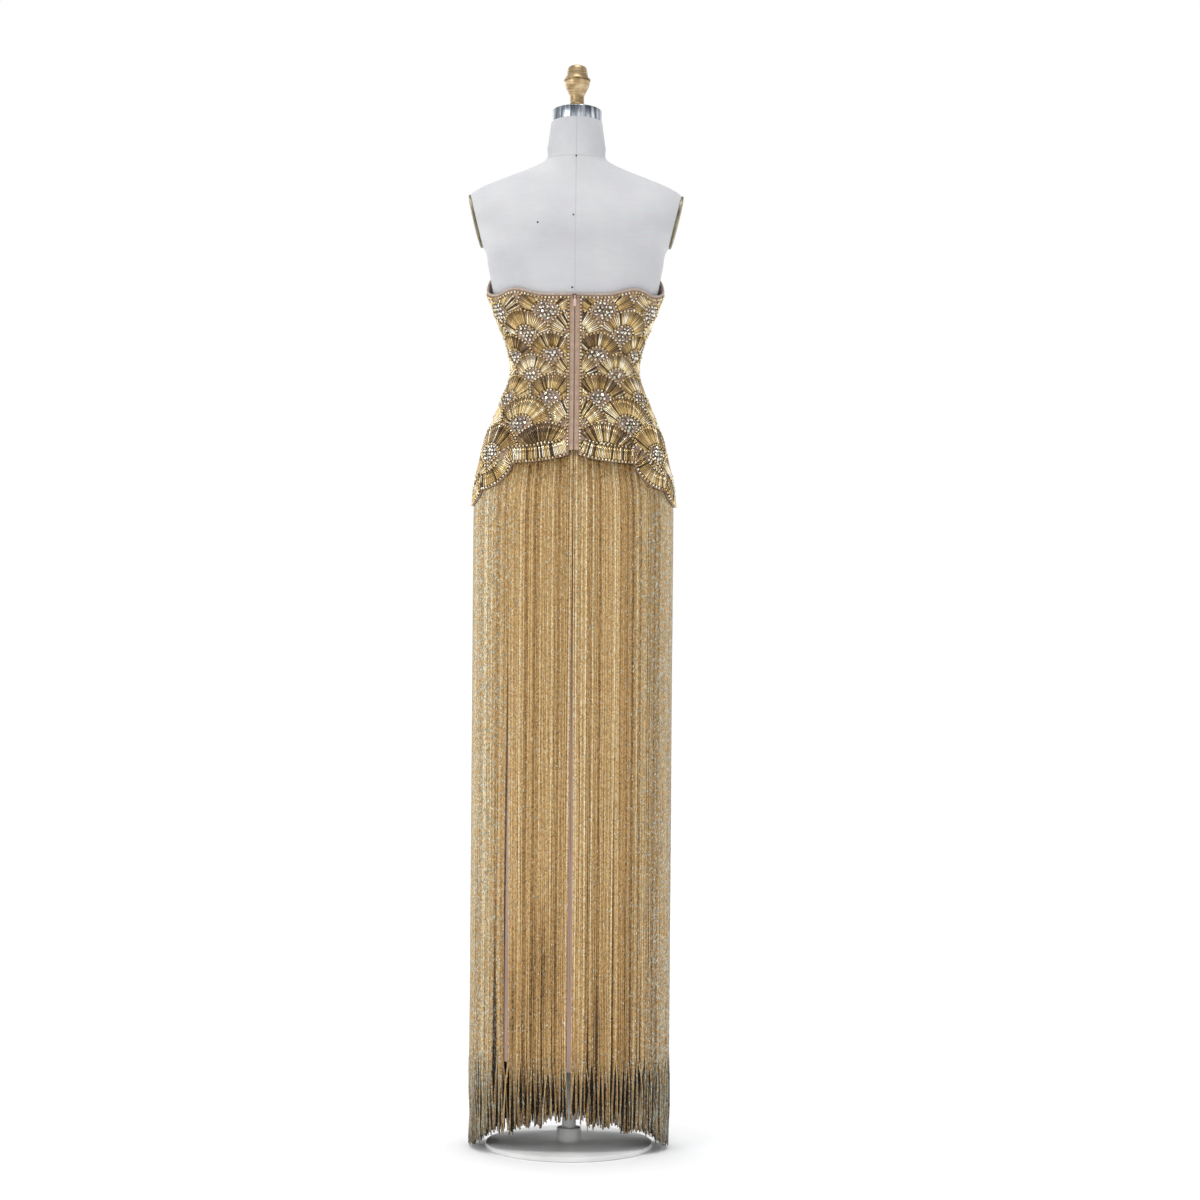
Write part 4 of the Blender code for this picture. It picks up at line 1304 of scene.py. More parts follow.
def filler_beads(number, fan, inner, stones):
    """Small beads in the parts of a fan's middle that its crystals leave bare."""
    share, middle, _, _ = fan
    spots = np.arange(-inner, inner, FILLER_PITCH)
    across, rise = np.meshgrid(spots, spots * ROW_RISE)
    across = across + (np.arange(len(spots)) % 2)[:, None] * FILLER_PITCH / 2
    height = middle + rise
    girth = share * girth_at(height) + across
    girth = nearer_way(girth, girth_at(height))
    seen = np.hypot(across, rise) < inner - 0.0030
    seen &= in_field(girth, height, -0.0002) & ~covered(girth, height, number, 0.0026)
    return [
        (g, h, 2)
        for g, h in zip(girth[seen], height[seen])
        if not len(stones) or np.hypot(*(stones - (g, h)).T).min() > FILLER_CLEAR
    ]


def fan_beads():
    """Bugles, outlining beads and crystals of every fan, as girths, heights and tones."""
    bugles, beads, crystals = [], [], []
    for number, fan in enumerate(fans):
        share, middle, radius, tone = fan
        inner = CRYSTAL_SHARE * radius
        turns = np.arange(-2.5, 2.5, BUGLE_PITCH / (PITCH_MEASURED_AT * radius))
        reach = np.linspace(inner + 0.0021, radius - 0.0024, BUGLE_SAMPLES)
        girth, height = round_fan(fan, reach[None, :], turns[:, None])
        girth = nearer_way(girth, girth_at(height))
        seen = in_field(girth, height) & ~covered(girth, height, number, 0.0017)
        for row, (first, last) in enumerate(longest_runs(seen)):
            if first < 0 or (last - first) * (reach[1] - reach[0]) < SHORTEST_BUGLE:
                continue
            # Painted light: the tone rises and falls with the bugle's direction round the fan, as its
            # reflections would.
            glow = tone + 0.11 * math.sin(2.6 * turns[row] + 1.7 * number)
            ends = (girth[row, first], height[row, first], girth[row, last], height[row, last])
            bugles.append((*ends, glow, row % 2))
        for ring, from_turn in ((radius - 0.0004, -2.5), (inner, -3.1)):
            turns = np.arange(from_turn, -from_turn, BEAD_PITCH / (2 * ring))
            # Every other bead is a dark one, painted shadow between the gold beads.
            shadow_bead = np.arange(len(turns)) % 2
            girth, height = round_fan(fan, ring, turns)
            seen = in_field(girth, height, -0.0004) & ~covered(girth, height, number, 0.0012)
            beads.extend(zip(girth[seen], height[seen], shadow_bead[seen]))
        stones = np.empty((0, 2))
        rows = np.arange(-inner, inner, CRYSTAL_PITCH * ROW_RISE)
        for line, up in enumerate(rows):
            across = np.arange(-inner, inner, CRYSTAL_PITCH) + (line % 2) * CRYSTAL_PITCH / 2
            girth = across + bead_draws.uniform(-0.0006, 0.0006, len(across))
            rise = up + bead_draws.uniform(-0.0006, 0.0006, len(across))
            seen = np.hypot(girth, rise) < inner - 0.0042
            height = middle + rise
            girth = share * girth_at(height) + girth
            girth = nearer_way(girth, girth_at(height))
            seen &= in_field(girth, height, 0.0012) & ~covered(girth, height, number, 0.0040)
            crystals.extend(zip(girth[seen], height[seen]))
            stones = np.concatenate((stones, np.stack((girth[seen], height[seen]), axis=1)))
        beads.extend(filler_beads(number, fan, inner, stones))
    return bugles, beads, crystals


def clear_of_zip(start, end):
    """A bugle's two ends, the one that would lie on the zip drawn back to its edge."""
    ends = [start, end]
    for k in (0, 1):
        near, far = ends[k], ends[1 - k]
        if abs(near[0]) < ZIP_CLEAR < abs(far[0]):
            share = (math.copysign(ZIP_CLEAR, far[0]) - near[0]) / (far[0] - near[0])
            ends[k] = near + share * (far - near)
    return ends


def strung(line):
    """Beads strung along a line of girths and heights: gold ones and dark painted-shadow beads, turn
    about.
    """
    beads = [(*line[0], 0)]
    for girth, height in line[1:]:
        if math.hypot(girth - beads[-1][0], height - beads[-1][1]) > 0.48 * BEAD_PITCH:
            beads.append((girth, height, 1 - beads[-1][2]))
    return beads


def border_beads():
    """The border's bugles, and rows of round beads on its edges, the neckline and the zip."""
    spans, bugles, beads = [], [], []
    step = round(BUGLE_PITCH / EDGE_STEP)
    laid = []
    for number, spot in enumerate(range(2, len(scallop_line) - 2, step)):
        start = scallop_line[spot] + 0.0040 * scallop_up[spot]
        end = scallop_line[spot] + (BORDER_DEPTH - 0.0006) * scallop_up[spot]
        if laid and np.hypot(*(end - laid[1])) > 1.7 * BUGLE_PITCH:
            between = (laid[0] + start) / 2, (laid[1] + end) / 2
            laid = [0.6 * between[0] + 0.4 * between[1], between[1]]
            spans.append((*laid, number))
        laid = [start, end]
        spans.append((*laid, number))
    for start, end, number in spans:
        start, end = clear_of_zip(start, end)
        clear = min(abs(start[0]), abs(end[0])) > ZIP_CLEAR - 0.0001
        clear &= np.hypot(*(end - start)) > SHORTEST_BUGLE
        if clear and off_edge(end[:1], end[1:])[0] > 0.45 * BORDER_DEPTH:
            glow = 0.66 + 0.14 * math.sin(number * 0.048) + 0.10 * math.sin(number * 0.2)
            bugles.append((*start, *end, glow, number % 2))
    for lift in (0.0018, BORDER_DEPTH + 0.0015):
        line = scallop_line + lift * scallop_up
        kept = np.abs(line[:, 0]) > ZIP_CLEAR - 0.0006
        kept[kept] &= off_edge(line[kept, 0], line[kept, 1]) > lift - 0.0005
        beads.extend(strung(line[kept]))
    for side in (-1, 1):
        heights = np.arange(SCALLOPS[0][2] + 0.003, NECKLINE[0][1] - 0.0080, 0.0005)
        beads.extend(strung([(side * ZIP_BEADS_OFF, height) for height in heights]))
    around = np.linspace(-180, 180, 1441)
    heights = mesh_top(around) - NECK_BEADS_BELOW
    line = []
    for angle, height in zip(around, heights):
        row = np.interp(height, PLACES_UP, np.arange(float(len(PLACES_UP))))
        girth = math.copysign(np.interp(abs(angle), share_angles[int(row)], SHARES), angle)
        girth *= float(girth_at(height))
        if abs(girth) > ZIP_BEADS_OFF - 0.0005:
            line.append((girth, height))
    beads.extend(strung(line))
    return bugles, beads


def joined_copies(name, template, points, facts, smooth=True):
    """One mesh of many copies of a template. points holds the corners of each copy, and
    facts its attributes, as arrays of the same shape."""
    copies, corners, _ = points.shape
    faces = [[corner.index for corner in face.verts] for face in template.faces]
    template.free()
    mesh = bpy.data.meshes.new(name)
    mesh.from_pydata(
        points.reshape(-1, 3).tolist(),
        [],
        [[i + copy * corners for i in face] for copy in range(copies) for face in faces],
    )
    for fact, values in facts.items():
        layer = mesh.attributes.new(fact, "FLOAT", "POINT")
        layer.data.foreach_set("value", np.ascontiguousarray(values, np.float32).ravel())
    mesh.polygons.foreach_set("use_smooth", [smooth] * len(mesh.polygons))
    mesh.update()
    return mesh


def bead_axes(ahead, outward):
    """Right-handed axes for each bead: along it, beside it, and out of the cloth."""
    ahead = ahead - (ahead * outward).sum(-1, keepdims=True) * outward
    ahead = ahead / np.linalg.norm(ahead, axis=-1, keepdims=True)
    return ahead, np.cross(outward, ahead), outward


def set_copies(template, centres, axes, scales):
    """Corners of a template's copies, on their axes, at three scales each."""
    corners = np.array([corner.co for corner in template.verts])
    points = centres[:, None, :]
    for k in range(3):
        points = points + corners[None, :, k, None] * (scales[k][:, None] * axes[k])[:, None, :]
    return points


def sewn_bugles(bugles):
    """All bugles as one mesh of six-sided tubes, each laid from its start to its end."""
    rows = np.array(bugles)
    start, out_start = on_bodice(rows[:, 0], rows[:, 1])
    end, out_end = on_bodice(rows[:, 2], rows[:, 3])
    middle, _ = on_bodice((rows[:, 0] + rows[:, 2]) / 2, (rows[:, 1] + rows[:, 3]) / 2)
    outward = out_start + out_end
    outward /= np.linalg.norm(outward, axis=1, keepdims=True)
    bulge = ((middle - (start + end) / 2) * outward).sum(1)
    lift = BUGLE_RADIUS * 0.92 + np.maximum(bulge, 0) + 0.0005 * rows[:, 5]
    lift += bead_draws.uniform(-0.00012, 0.00022, len(rows))
    centres = (start + end) / 2 + outward * lift[:, None]
    axes = bead_axes(end - start, outward)
    template = bmesh.new()
    along = Matrix.Rotation(math.pi / 2, 4, "Y")
    bmesh.ops.create_cone(
        template, cap_ends=True, segments=6, radius1=1, radius2=1, depth=1, matrix=along
    )
    thick = BUGLE_RADIUS * bead_draws.uniform(0.92, 1.05, len(rows))
    points = set_copies(
        template, centres, axes, (np.linalg.norm(end - start, axis=1), thick, thick)
    )
    glow = rows[:, 4] + bead_draws.normal(0, 0.15, len(rows))
    # Partly lots at random, partly painted light: a few bugles are made very pale, as painted
    # highlights, and a few very dark, as painted shade.
    odd = bead_draws.random(len(rows))
    glow = np.clip(np.where(odd > 0.93, 1.0, np.where(odd < 0.07, 0.06, glow)), 0, 1)
    corners = points.shape[1]
    ends = np.array([corner.co.x for corner in template.verts]) + 0.5
    facts = {
        "tone": np.repeat(glow[:, None], corners, axis=1),
        "along": ends[None, :] * np.ones((len(rows), 1)),
        "lot": np.repeat(bead_draws.random(len(rows))[:, None], corners, axis=1),
    }
    return joined_copies("gold_bugle_beads", template, points, facts)


def sewn_round_beads(name, beads):
    """Round beads as one mesh."""
    rows = np.array(beads)
    here, outward = on_bodice(rows[:, 0], rows[:, 1])
    size = np.array(BEAD_RADII)[rows[:, 2].astype(int)] * bead_draws.uniform(0.92, 1.07, len(rows))
    template = bmesh.new()
    bmesh.ops.create_uvsphere(template, u_segments=6, v_segments=4, radius=1)
    upward = np.tile((0.0, 0.0, 1.0), (len(rows), 1)) + bead_draws.normal(0, 0.5, (len(rows), 3))
    points = set_copies(
        template, here + outward * (size * 1.15)[:, None], bead_axes(upward, outward), (size,) * 3
    )
    # Painted shadow: the dark beads get a lot of -1, which colours them near black.
    lot = np.where(rows[:, 2] == 1, -1.0, bead_draws.random(len(rows)))
    facts = {"lot": np.repeat(lot[:, None], points.shape[1], axis=1)}
    return joined_copies(name, template, points, facts)


def crystal_shape(bottom, top, depth, drop):
    """A faceted stone or its setting, seven-sided and drawn out to a point where drop is."""
    template = bmesh.new()
    bmesh.ops.create_cone(
        template, cap_ends=True, segments=7, radius1=bottom, radius2=top, depth=depth
    )
    for corner in template.verts:
        if corner.co.x > 0.3 * bottom:
            corner.co.x *= drop
    return template


def sewn_crystals(name, crystals, drop, bottom, top, depth, lift, smooth):
    """Crystals, or the settings under them, as one mesh, each turned and tipped its own way.
    A row holds girth, height, turn, size, three tips and the lot."""
    rows = np.array(crystals)
    here, outward = on_bodice(rows[:, 0], rows[:, 1])
    tipped = outward + rows[:, 4:7]
    tipped /= np.linalg.norm(tipped, axis=1, keepdims=True)
    ahead = np.stack((np.cos(rows[:, 2]), 0 * rows[:, 2], np.sin(rows[:, 2])), axis=1)
    ahead += 0.3 * np.cross(outward, ahead)
    size = rows[:, 3]
    template = crystal_shape(bottom, top, depth, drop)
    points = set_copies(
        template, here + outward * (size * lift)[:, None], bead_axes(ahead, tipped), (size,) * 3
    )
    facts = {"lot": np.repeat(rows[:, 7][:, None], points.shape[1], axis=1)}
    return joined_copies(name, template, points, facts, smooth)


def gold_bugle_glass():
    """Silver-lined bugle beads: gold glass tube round bright foil, fire polished. A narrow
    highlight runs down each, and lots differ at random from bronze to straw. The tone also
    carries painted light: whole fans and directions round each fan are lighter or darker,
    and a few very pale or very dark bugles are painted highlights and painted shade. The
    ends are darkened with painted shade, for the shade in the open bore."""
    made, tree, shader = new_material(
        "silver_lined_bugles", {"Metallic": 0.75, "Coat Weight": 0.6, "Coat Roughness": 0.08}
    )
    tone = add_node(tree, "Attribute", {"attribute_name": "tone"}, {}).outputs["Fac"]
    along = add_node(tree, "Attribute", {"attribute_name": "along"}, {}).outputs["Fac"]
    place = add_node(tree, "TexCoord", {}, {}).outputs["Object"]
    streak = add_node(tree, "TexNoise", {}, {"Vector": place, "Scale": 160.0, "Detail": 3.0})
    lit = add_node(tree, "Math", {"operation": "MULTIPLY_ADD"}, {0: streak, 1: 0.16, 2: -0.08})
    lit = add_node(tree, "Math", {"operation": "ADD", "use_clamp": True}, {0: lit, 1: tone})
    tint = add_node(
        tree,
        "ValToRGB",
        {
            "stops": (
                (0.00, "#38250D"),
                (0.20, "#6B5026"),
                (0.42, "#AE8B4F"),
                (0.62, "#D9B978"),
                (0.82, "#F4DFAA"),
                (1.00, "#FFF6DC"),
            )
        },
        {"Fac": lit},
    )
    # Painted shade: each end is darkened, for the shade in the open bore.
    end = add_node(tree, "Math", {"operation": "PINGPONG"}, {0: along, 1: 0.5})
    bore_shade = add_node(
        tree, "MapRange", {}, {"Value": end, "From Max": 0.035, "To Min": 0.75, "To Max": 0.0}
    )
    shaded = add_node(
        tree, "Mix", {"data_type": "RGBA"}, {"Factor": bore_shade, "A": tint, "B": linear("#3A260E")}
    )
    rough = add_node(tree, "MapRange", {}, {"Value": streak, "To Min": 0.14, "To Max": 0.30})
    set_inputs(tree, shader, {"Base Color": shaded, "Roughness": rough})
    return made


def plated_gold():
    """Gold-plated round beads: plated brass, polished, with paler and browner lots and a
    few worn duller; the palest lots are partly painted highlights. The dark beads between
    them are near black: painted shadow for the shaded gaps between beads."""
    made, tree, shader = new_material("gold_plated_brass", {"Metallic": 0.75, "Coat Weight": 0.4})
    lot = add_node(tree, "Attribute", {"attribute_name": "lot"}, {}).outputs["Fac"]
    place = add_node(tree, "TexCoord", {}, {}).outputs["Object"]
    wear = add_node(tree, "TexNoise", {}, {"Vector": place, "Scale": 700.0, "Detail": 2.0})
    plate = add_node(
        tree,
        "ValToRGB",
        {"stops": ((0.0, "#B8934F"), (0.25, "#E3C683"), (0.6, "#F6E4B2"), (1.0, "#FFF9E3"))},
        {"Fac": lot},
    )
    # Painted shadow: beads with a lot of -1 are coloured near black.
    is_shadow_bead = add_node(tree, "Math", {"operation": "LESS_THAN"}, {0: lot, 1: -0.5})
    tint = add_node(
        tree,
        "Mix",
        {"data_type": "RGBA"},
        {"Factor": is_shadow_bead, "A": plate, "B": linear("#3C2A14")},
    )
    rough = add_node(tree, "MapRange", {}, {"Value": wear, "To Min": 0.16, "To Max": 0.40})
    set_inputs(tree, shader, {"Base Color": tint, "Roughness": rough})
    return made


def foiled_crystal():
    """Foil-backed cut crystal: lead glass with a mirror behind it, champagne to clear, with
    the foil's warm tint. Its colour is painted in small cells bright or dark: painted glints
    and painted dark reflections of the facets."""
    made, tree, shader = new_material(
        "foiled_crystal", {"Metallic": 0.8, "Coat Weight": 1.0, "Coat Roughness": 0.03}
    )
    lot = add_node(tree, "Attribute", {"attribute_name": "lot"}, {}).outputs["Fac"]
    place = add_node(tree, "TexCoord", {}, {}).outputs["Object"]
    # Painted glints: cells about a facet wide are painted bright or dark; the same cells vary the
    # gloss.
    glint_and_gloss_cells = add_node(
        tree, "TexVoronoi", {"feature": "F1"}, {"Vector": place, "Scale": 520.0, "Randomness": 1.0}
    )
    fire = add_node(tree, "SeparateColor", {}, {"Color": glint_and_gloss_cells.outputs["Color"]})
    lit = add_node(tree, "Math", {"operation": "MULTIPLY"}, {0: fire.outputs["Red"], 1: 0.65})
    lit = add_node(tree, "Math", {"operation": "MULTIPLY_ADD"}, {0: lot, 1: 0.35, 2: lit})
    tint = add_node(
        tree,
        "ValToRGB",
        {"stops": ((0.06, "#5C5340"), (0.26, "#AFA283"), (0.48, "#E2D8BC"), (0.70, "#FFFCF0"))},
        {"Fac": lit},
    )
    rough = add_node(
        tree, "MapRange", {}, {"Value": fire.outputs["Green"], "To Min": 0.03, "To Max": 0.16}
    )
    set_inputs(tree, shader, {"Base Color": tint, "Roughness": rough})
    return made


def antique_setting():
    """Antiqued brass settings: stamped cups, darkened in the hollows, rubbed on the rims."""
    made, tree, shader = new_material("antiqued_brass", {"Metallic": 1.0})
    place = add_node(tree, "TexCoord", {}, {}).outputs["Object"]
    wear = add_node(tree, "TexNoise", {}, {"Vector": place, "Scale": 600.0, "Detail": 3.0})
    tint = add_node(tree, "ValToRGB", {"stops": ((0.35, "#241C10"), (0.7, "#5E4E30"))}, {"Fac": wear})
    rough = add_node(tree, "MapRange", {}, {"Value": wear, "To Min": 0.3, "To Max": 0.55})
    set_inputs(tree, shader, {"Base Color": tint, "Roughness": rough})
    return made


fan_bugles, outline_beads, fan_stones = fan_beads()
edge_bugles, edge_beads = border_beads()
place_piece(
    sewn_bugles(fan_bugles + edge_bugles), "gold_bugle_beads", gold_bugle_glass(), []
)
bead_finish = plated_gold()
place_piece(
    sewn_round_beads("round_gold_beads", outline_beads),
    "round_gold_beads",
    bead_finish,
    [],
)
place_piece(
    sewn_round_beads("edge_gold_beads", edge_beads),
    "edge_gold_beads",
    bead_finish,
    [],
)
stone_count = len(fan_stones)
all_stones = np.concatenate(
    (
        np.array(fan_stones),
        bead_draws.uniform(0, 2 * math.pi, (stone_count, 1)),
        bead_draws.uniform(*CRYSTAL_SIZES, (stone_count, 1)),
        bead_draws.normal(0, 0.22, (stone_count, 3)),
        bead_draws.random((stone_count, 1)),
    ),
    axis=1,
)
is_drop = bead_draws.random(stone_count) < DROP_SHARE
stone_finish = foiled_crystal()
setting_finish = antique_setting()
CRYSTAL_KINDS = (
    ("drop", all_stones[is_drop], DROP_LENGTH),
    ("round", all_stones[~is_drop], 1.0),
)
for word, chosen, drop in CRYSTAL_KINDS:
    place_piece(
        sewn_crystals(f"{word}_crystals", chosen, drop, 1.0, 0.52, 0.62, 0.75, False),
        f"{word}_crystals",
        stone_finish,
        [],
    )
    place_piece(
        sewn_crystals(f"{word}_crystal_settings", chosen, drop, 0.95, 1.10, 0.44, 0.28, True),
        f"{word}_crystal_settings",
        setting_finish,
        [],
    )


# Fringe: strands of two-millimetre seed beads, threaded on silk in three layers and sewn
# on under the scallops. They fall straight from the hips, part in places into slits, and
# twist into loose ropes below the underskirt's hem.
FRINGE_ROOT = ((0, 1.256), (20, 1.247), (37.5, 1.236), (50, 1.214), (65, 1.192), (90, 1.165))
FRINGE_END = (
    (0, 0.0740),
    (12, 0.0600),
    (22, 0.0560),
    (36, 0.0450),
    (52, 0.0400),
    (62, 0.0240),
    (74, 0.0130),
    (90, 0.0110),
    (118, 0.0150),
    (140, 0.0300),
    (180, 0.0500),
)
GIRTH_INSET = 0.0031
STRAND_RADIUS = 0.0011
STRAND_SIDES = 5
BEADS_A_METRE = 340.0
# The layers, from the outside in: how far behind the gown's face, pitch round the skirt.
LAYERS = ((0.0033, 0.00230), (0.0044, 0.00235), (0.0056, 0.00205))
FALL_LEVELS = (
    1.175, 1.120, 0.980, 0.840, 0.720, 0.620, 0.540,
    0.470, 0.410, 0.350, 0.290, 0.240, 0.200,
)
FREE_LEVELS = 9
FREE_FROM = 0.175
END_SCATTER = 0.0030
LOWEST_END = 0.0045
ROPE_FROM = 0.170
ROPE_FADE = 0.055
ROPE_WIDTHS = (0.0048, 0.0100)
ROPE_END_SCATTER = 0.0036
ROPE_TWISTS = (14, 32)
SWUNG_IN = 0.0048
SWUNG_FROM = 0.150
SWUNG_FADE = 0.060
# Slits: girth from the centre back (right is +), half width at the foot, the height that
# it opens from, how far the strands beside it are pushed, and the inner layer's share,
# which is 1 where the underskirt shows through.
SLITS = (
    (0.0000, 0.0044, 1.240, 0.010, 1.0),
    (-0.1370, 0.0046, 0.560, 0.012, 0.1),
    (-0.1160, 0.0056, 1.150, 0.010, 1.0),
    (0.0760, 0.0030, 0.860, 0.010, 0.1),
    (-0.0480, 0.0018, 0.560, 0.008, 0.1),
    (0.0330, 0.0020, 0.330, 0.007, 0.1),
    (0.1290, 0.0026, 0.500, 0.010, 0.1),
    (-0.2350, 0.0034, 0.620, 0.012, 0.1),
    (0.2440, 0.0030, 0.700, 0.011, 0.1),
    (0.3310, 0.0036, 0.520, 0.012, 0.1),
    (-0.3480, 0.0026, 0.880, 0.009, 0.1),
    (0.4030, 0.0022, 0.450, 0.009, 0.1),
)
# Shaded places where the strands lie deeper: girth, height, half size across, up. The last
# is the wearer's right side, in its own shade.
HOLLOWS = (
    (-0.0460, 0.330, 0.018, 0.090),
    (0.0480, 0.220, 0.012, 0.080),
    (-0.1050, 0.250, 0.014, 0.100),
    (0.2900, 0.380, 0.020, 0.110),
    (-0.3000, 0.300, 0.018, 0.100),
    (0.2500, 0.550, 0.080, 0.900),
)


def hip_girth():
    """Angles from the centre back to the centre front, and the girth of the skirt to each."""
    angles = np.linspace(0, 180, 721)
    points = gown_point(angles, np.full(721, HIP_HEIGHT), GIRTH_INSET)
    steps = np.linalg.norm(np.diff(points, axis=0), axis=1)
    return angles, np.concatenate(((0.0,), np.cumsum(steps)))


hip_angles, hip_girths = hip_girth()
half_girth = float(hip_girths[-1])
side_girth = float(np.interp(90, hip_angles, hip_girths))


def angle_at_girth(girth):
    """Angles at signed girths from the centre back, which may run on past the centre front."""
    girth = nearer_way(girth, half_girth)
    return np.sign(girth) * np.interp(np.abs(girth), hip_girths, hip_angles)


def smooth_step(value):
    """A soft rise from 0 to 1."""
    value = np.clip(value, 0, 1)
    return value * value * (3 - 2 * value)


def strand_template(rings):
    """A five-sided tube with closed ends, and each corner's ring and turn."""
    bm = bmesh.new()
    ring_of = bm.verts.layers.int.new("ring")
    turn_of = bm.verts.layers.int.new("turn")
    first = bmesh.ops.create_circle(bm, segments=STRAND_SIDES, radius=1, cap_ends=True)["verts"]
    for turn, corner in enumerate(first):
        corner[turn_of] = turn
    edges = list(bm.edges)
    for ring in range(1, rings):
        grown = bmesh.ops.extrude_edge_only(bm, edges=edges)["geom"]
        edges = [part for part in grown if isinstance(part, bmesh.types.BMEdge)]
        for corner in grown:
            if isinstance(corner, bmesh.types.BMVert):
                corner[ring_of] = ring
                corner.co.z = -ring
    bmesh.ops.contextual_create(bm, geom=edges)
    bmesh.ops.recalc_face_normals(bm, faces=bm.faces)
    bm.verts.index_update()
    return bm, np.array([v[ring_of] for v in bm.verts]), np.array([v[turn_of] for v in bm.verts])


def strand_girths(first, last, draws):
    """Where the strands of all layers hang, and how deep each lies."""
    girths, insets = [], []
    for number, (inset, pitch) in enumerate(LAYERS):
        count = int((last - first) / pitch)
        spots = first + (np.arange(count) + 0.5) * (last - first) / count
        loose = 0.00035 if number < 2 else 0.0001
        girths.append(spots + draws.uniform(-loose, loose, count))
        insets.append(np.full(count, inset))
    return np.concatenate(girths), np.concatenate(insets)


def ropes(girths, first, last, draws):
    """The middle of the loose rope that each strand joins below the hem."""
    edges = [first]
    while edges[-1] < last:
        edges.append(edges[-1] + draws.uniform(*ROPE_WIDTHS))
    edges[-1] = last
    if last - edges[-2] < 0.0035:
        del edges[-2]
    edges = np.array(edges)
    rope = np.clip(np.searchsorted(edges, girths) - 1, 0, len(edges) - 2)
    return (edges[rope] + edges[rope + 1]) / 2, rope


def fringe_strands(name, first, last, seed):
    """All strands from one girth to another, as one mesh."""
    draws = np.random.default_rng(seed)
    girths, insets = strand_girths(first, last, draws)
    count = len(girths)
    middles, rope = ropes(girths, first, last, draws)
    angles = angle_at_girth(girths)
    root = read_table(FRINGE_ROOT, np.minimum(np.abs(angles), 180 - np.abs(angles)))[0]
    end = read_table(FRINGE_END, np.abs(angles))[0] + draws.normal(0, END_SCATTER, count)
    rope_ends = draws.normal(0, ROPE_END_SCATTER, int(rope.max()) + 1)
    end = np.maximum(end + rope_ends[rope] + 0.0005, LOWEST_END)
    levels = np.array(FALL_LEVELS)[None, :] * np.ones((count, 1))
    free = FREE_FROM + (end[:, None] - FREE_FROM) * np.linspace(0, 1, FREE_LEVELS)[None, :]
    heights = np.concatenate((root[:, None] + 0.004, levels, free), axis=1)
    heights[:, 1] = np.minimum(heights[:, 1], (root + FALL_LEVELS[1]) / 2)

    phases = draws.uniform(0, 2 * math.pi, (2, count, 1))
    drop = np.clip((FALL_LEVELS[1] - heights) / FALL_LEVELS[1], 0, 1)
    sway = 0.0007 * np.sin(9 * heights + phases[0]) * drop
    swing = 0.00035 * np.sin(12 * heights + phases[1]) * drop
    outer = insets < LAYERS[2][0]
    place = girths[:, None] + sway * np.where(outer, 1.0, 0.2)[:, None]
    depth = insets[:, None] + swing
    # Painted shade: the inner strands beside the slits, and all strands in the hollows below, are
    # darkened in tone; the hollows also lie a little deeper.
    shade = np.zeros_like(heights)
    for at, half_width, start, reach, inner_share in SLITS:
        off = nearer_way(girths[:, None] - at, half_girth)
        opened = half_width * smooth_step((start - heights) / (0.75 * start))
        near = np.exp(-((off / 0.004) ** 2))
        shade += np.where(outer, 0, 1.4)[:, None] * opened / half_width * near
        opened = opened * np.where(outer, 1.0, inner_share)[:, None]
        place = place + np.sign(off) * opened * np.exp(-np.abs(off) / reach)
    for at, height, across, up in HOLLOWS:
        off = nearer_way(girths[:, None] - at, half_girth)
        shade += np.exp(-((off / across) ** 2) - ((heights - height) / up) ** 2)
    depth = depth + 0.0008 * np.minimum(shade, 1)

    drawn = np.where(outer, draws.uniform(0.18, 0.62, count), draws.uniform(0.0, 0.06, count))
    roped = smooth_step((ROPE_FROM - heights) / ROPE_FADE) * drawn[:, None]
    twist = draws.uniform(*ROPE_TWISTS, int(rope.max()) + 1)[rope] * np.where(rope % 3 == 0, -1, 1)
    turn = (twist * outer)[:, None] * np.maximum(ROPE_FROM - heights, 0)
    beside = (place - middles[:, None]) * (1 - roped)
    behind = (depth - LAYERS[1][0]) * (1 - 0.3 * roped)
    place = np.where(
        roped > 0, middles[:, None] + beside * np.cos(turn) - behind * np.sin(turn), place
    )
    depth = np.where(
        roped > 0, LAYERS[1][0] + beside * np.sin(turn) + behind * np.cos(turn), depth
    )
    depth = np.maximum(depth, 0.0012)
    swung = smooth_step((SWUNG_FROM - heights) / SWUNG_FADE)
    depth += np.where(outer, 0, SWUNG_IN)[:, None] * swung

    lines = gown_point(angle_at_girth(place), heights, depth)
    ahead = gown_point(angle_at_girth(place + 0.0005), heights, depth) - lines
    ahead[..., 2] = 0
    ahead /= np.linalg.norm(ahead, axis=-1, keepdims=True)
    outward = np.stack((ahead[..., 1], -ahead[..., 0], 0 * ahead[..., 0]), axis=-1)
    template, ring_of, turn_of = strand_template(heights.shape[1])
    radius = STRAND_RADIUS * np.where(ring_of == heights.shape[1] - 1, 0.75, 1.0)
    round_it = 2 * math.pi * turn_of / STRAND_SIDES
    points = (
        lines[:, ring_of]
        + (radius * np.cos(round_it))[None, :, None] * ahead[:, ring_of]
        + (radius * np.sin(round_it))[None, :, None] * outward[:, ring_of]
    )
    # Stripes of lighter and darker strands: partly lots at random, partly painted light, as if groups
    # of strands caught the light differently.
    streaks = (
        0.5
        + 0.11 * np.sin(girths * 2 * math.pi / 0.0190 + 1.3)
        + 0.10 * np.sin(girths * 2 * math.pi / 0.0073 + 0.4)
        + 0.10 * np.sin(girths * 2 * math.pi / 0.0570)
        + draws.normal(0, 0.11, count)
    )
    lot = draws.random(count)
    streaks = np.where(lot > 0.96, 0.95, np.where(lot < 0.05, 0.08, streaks))
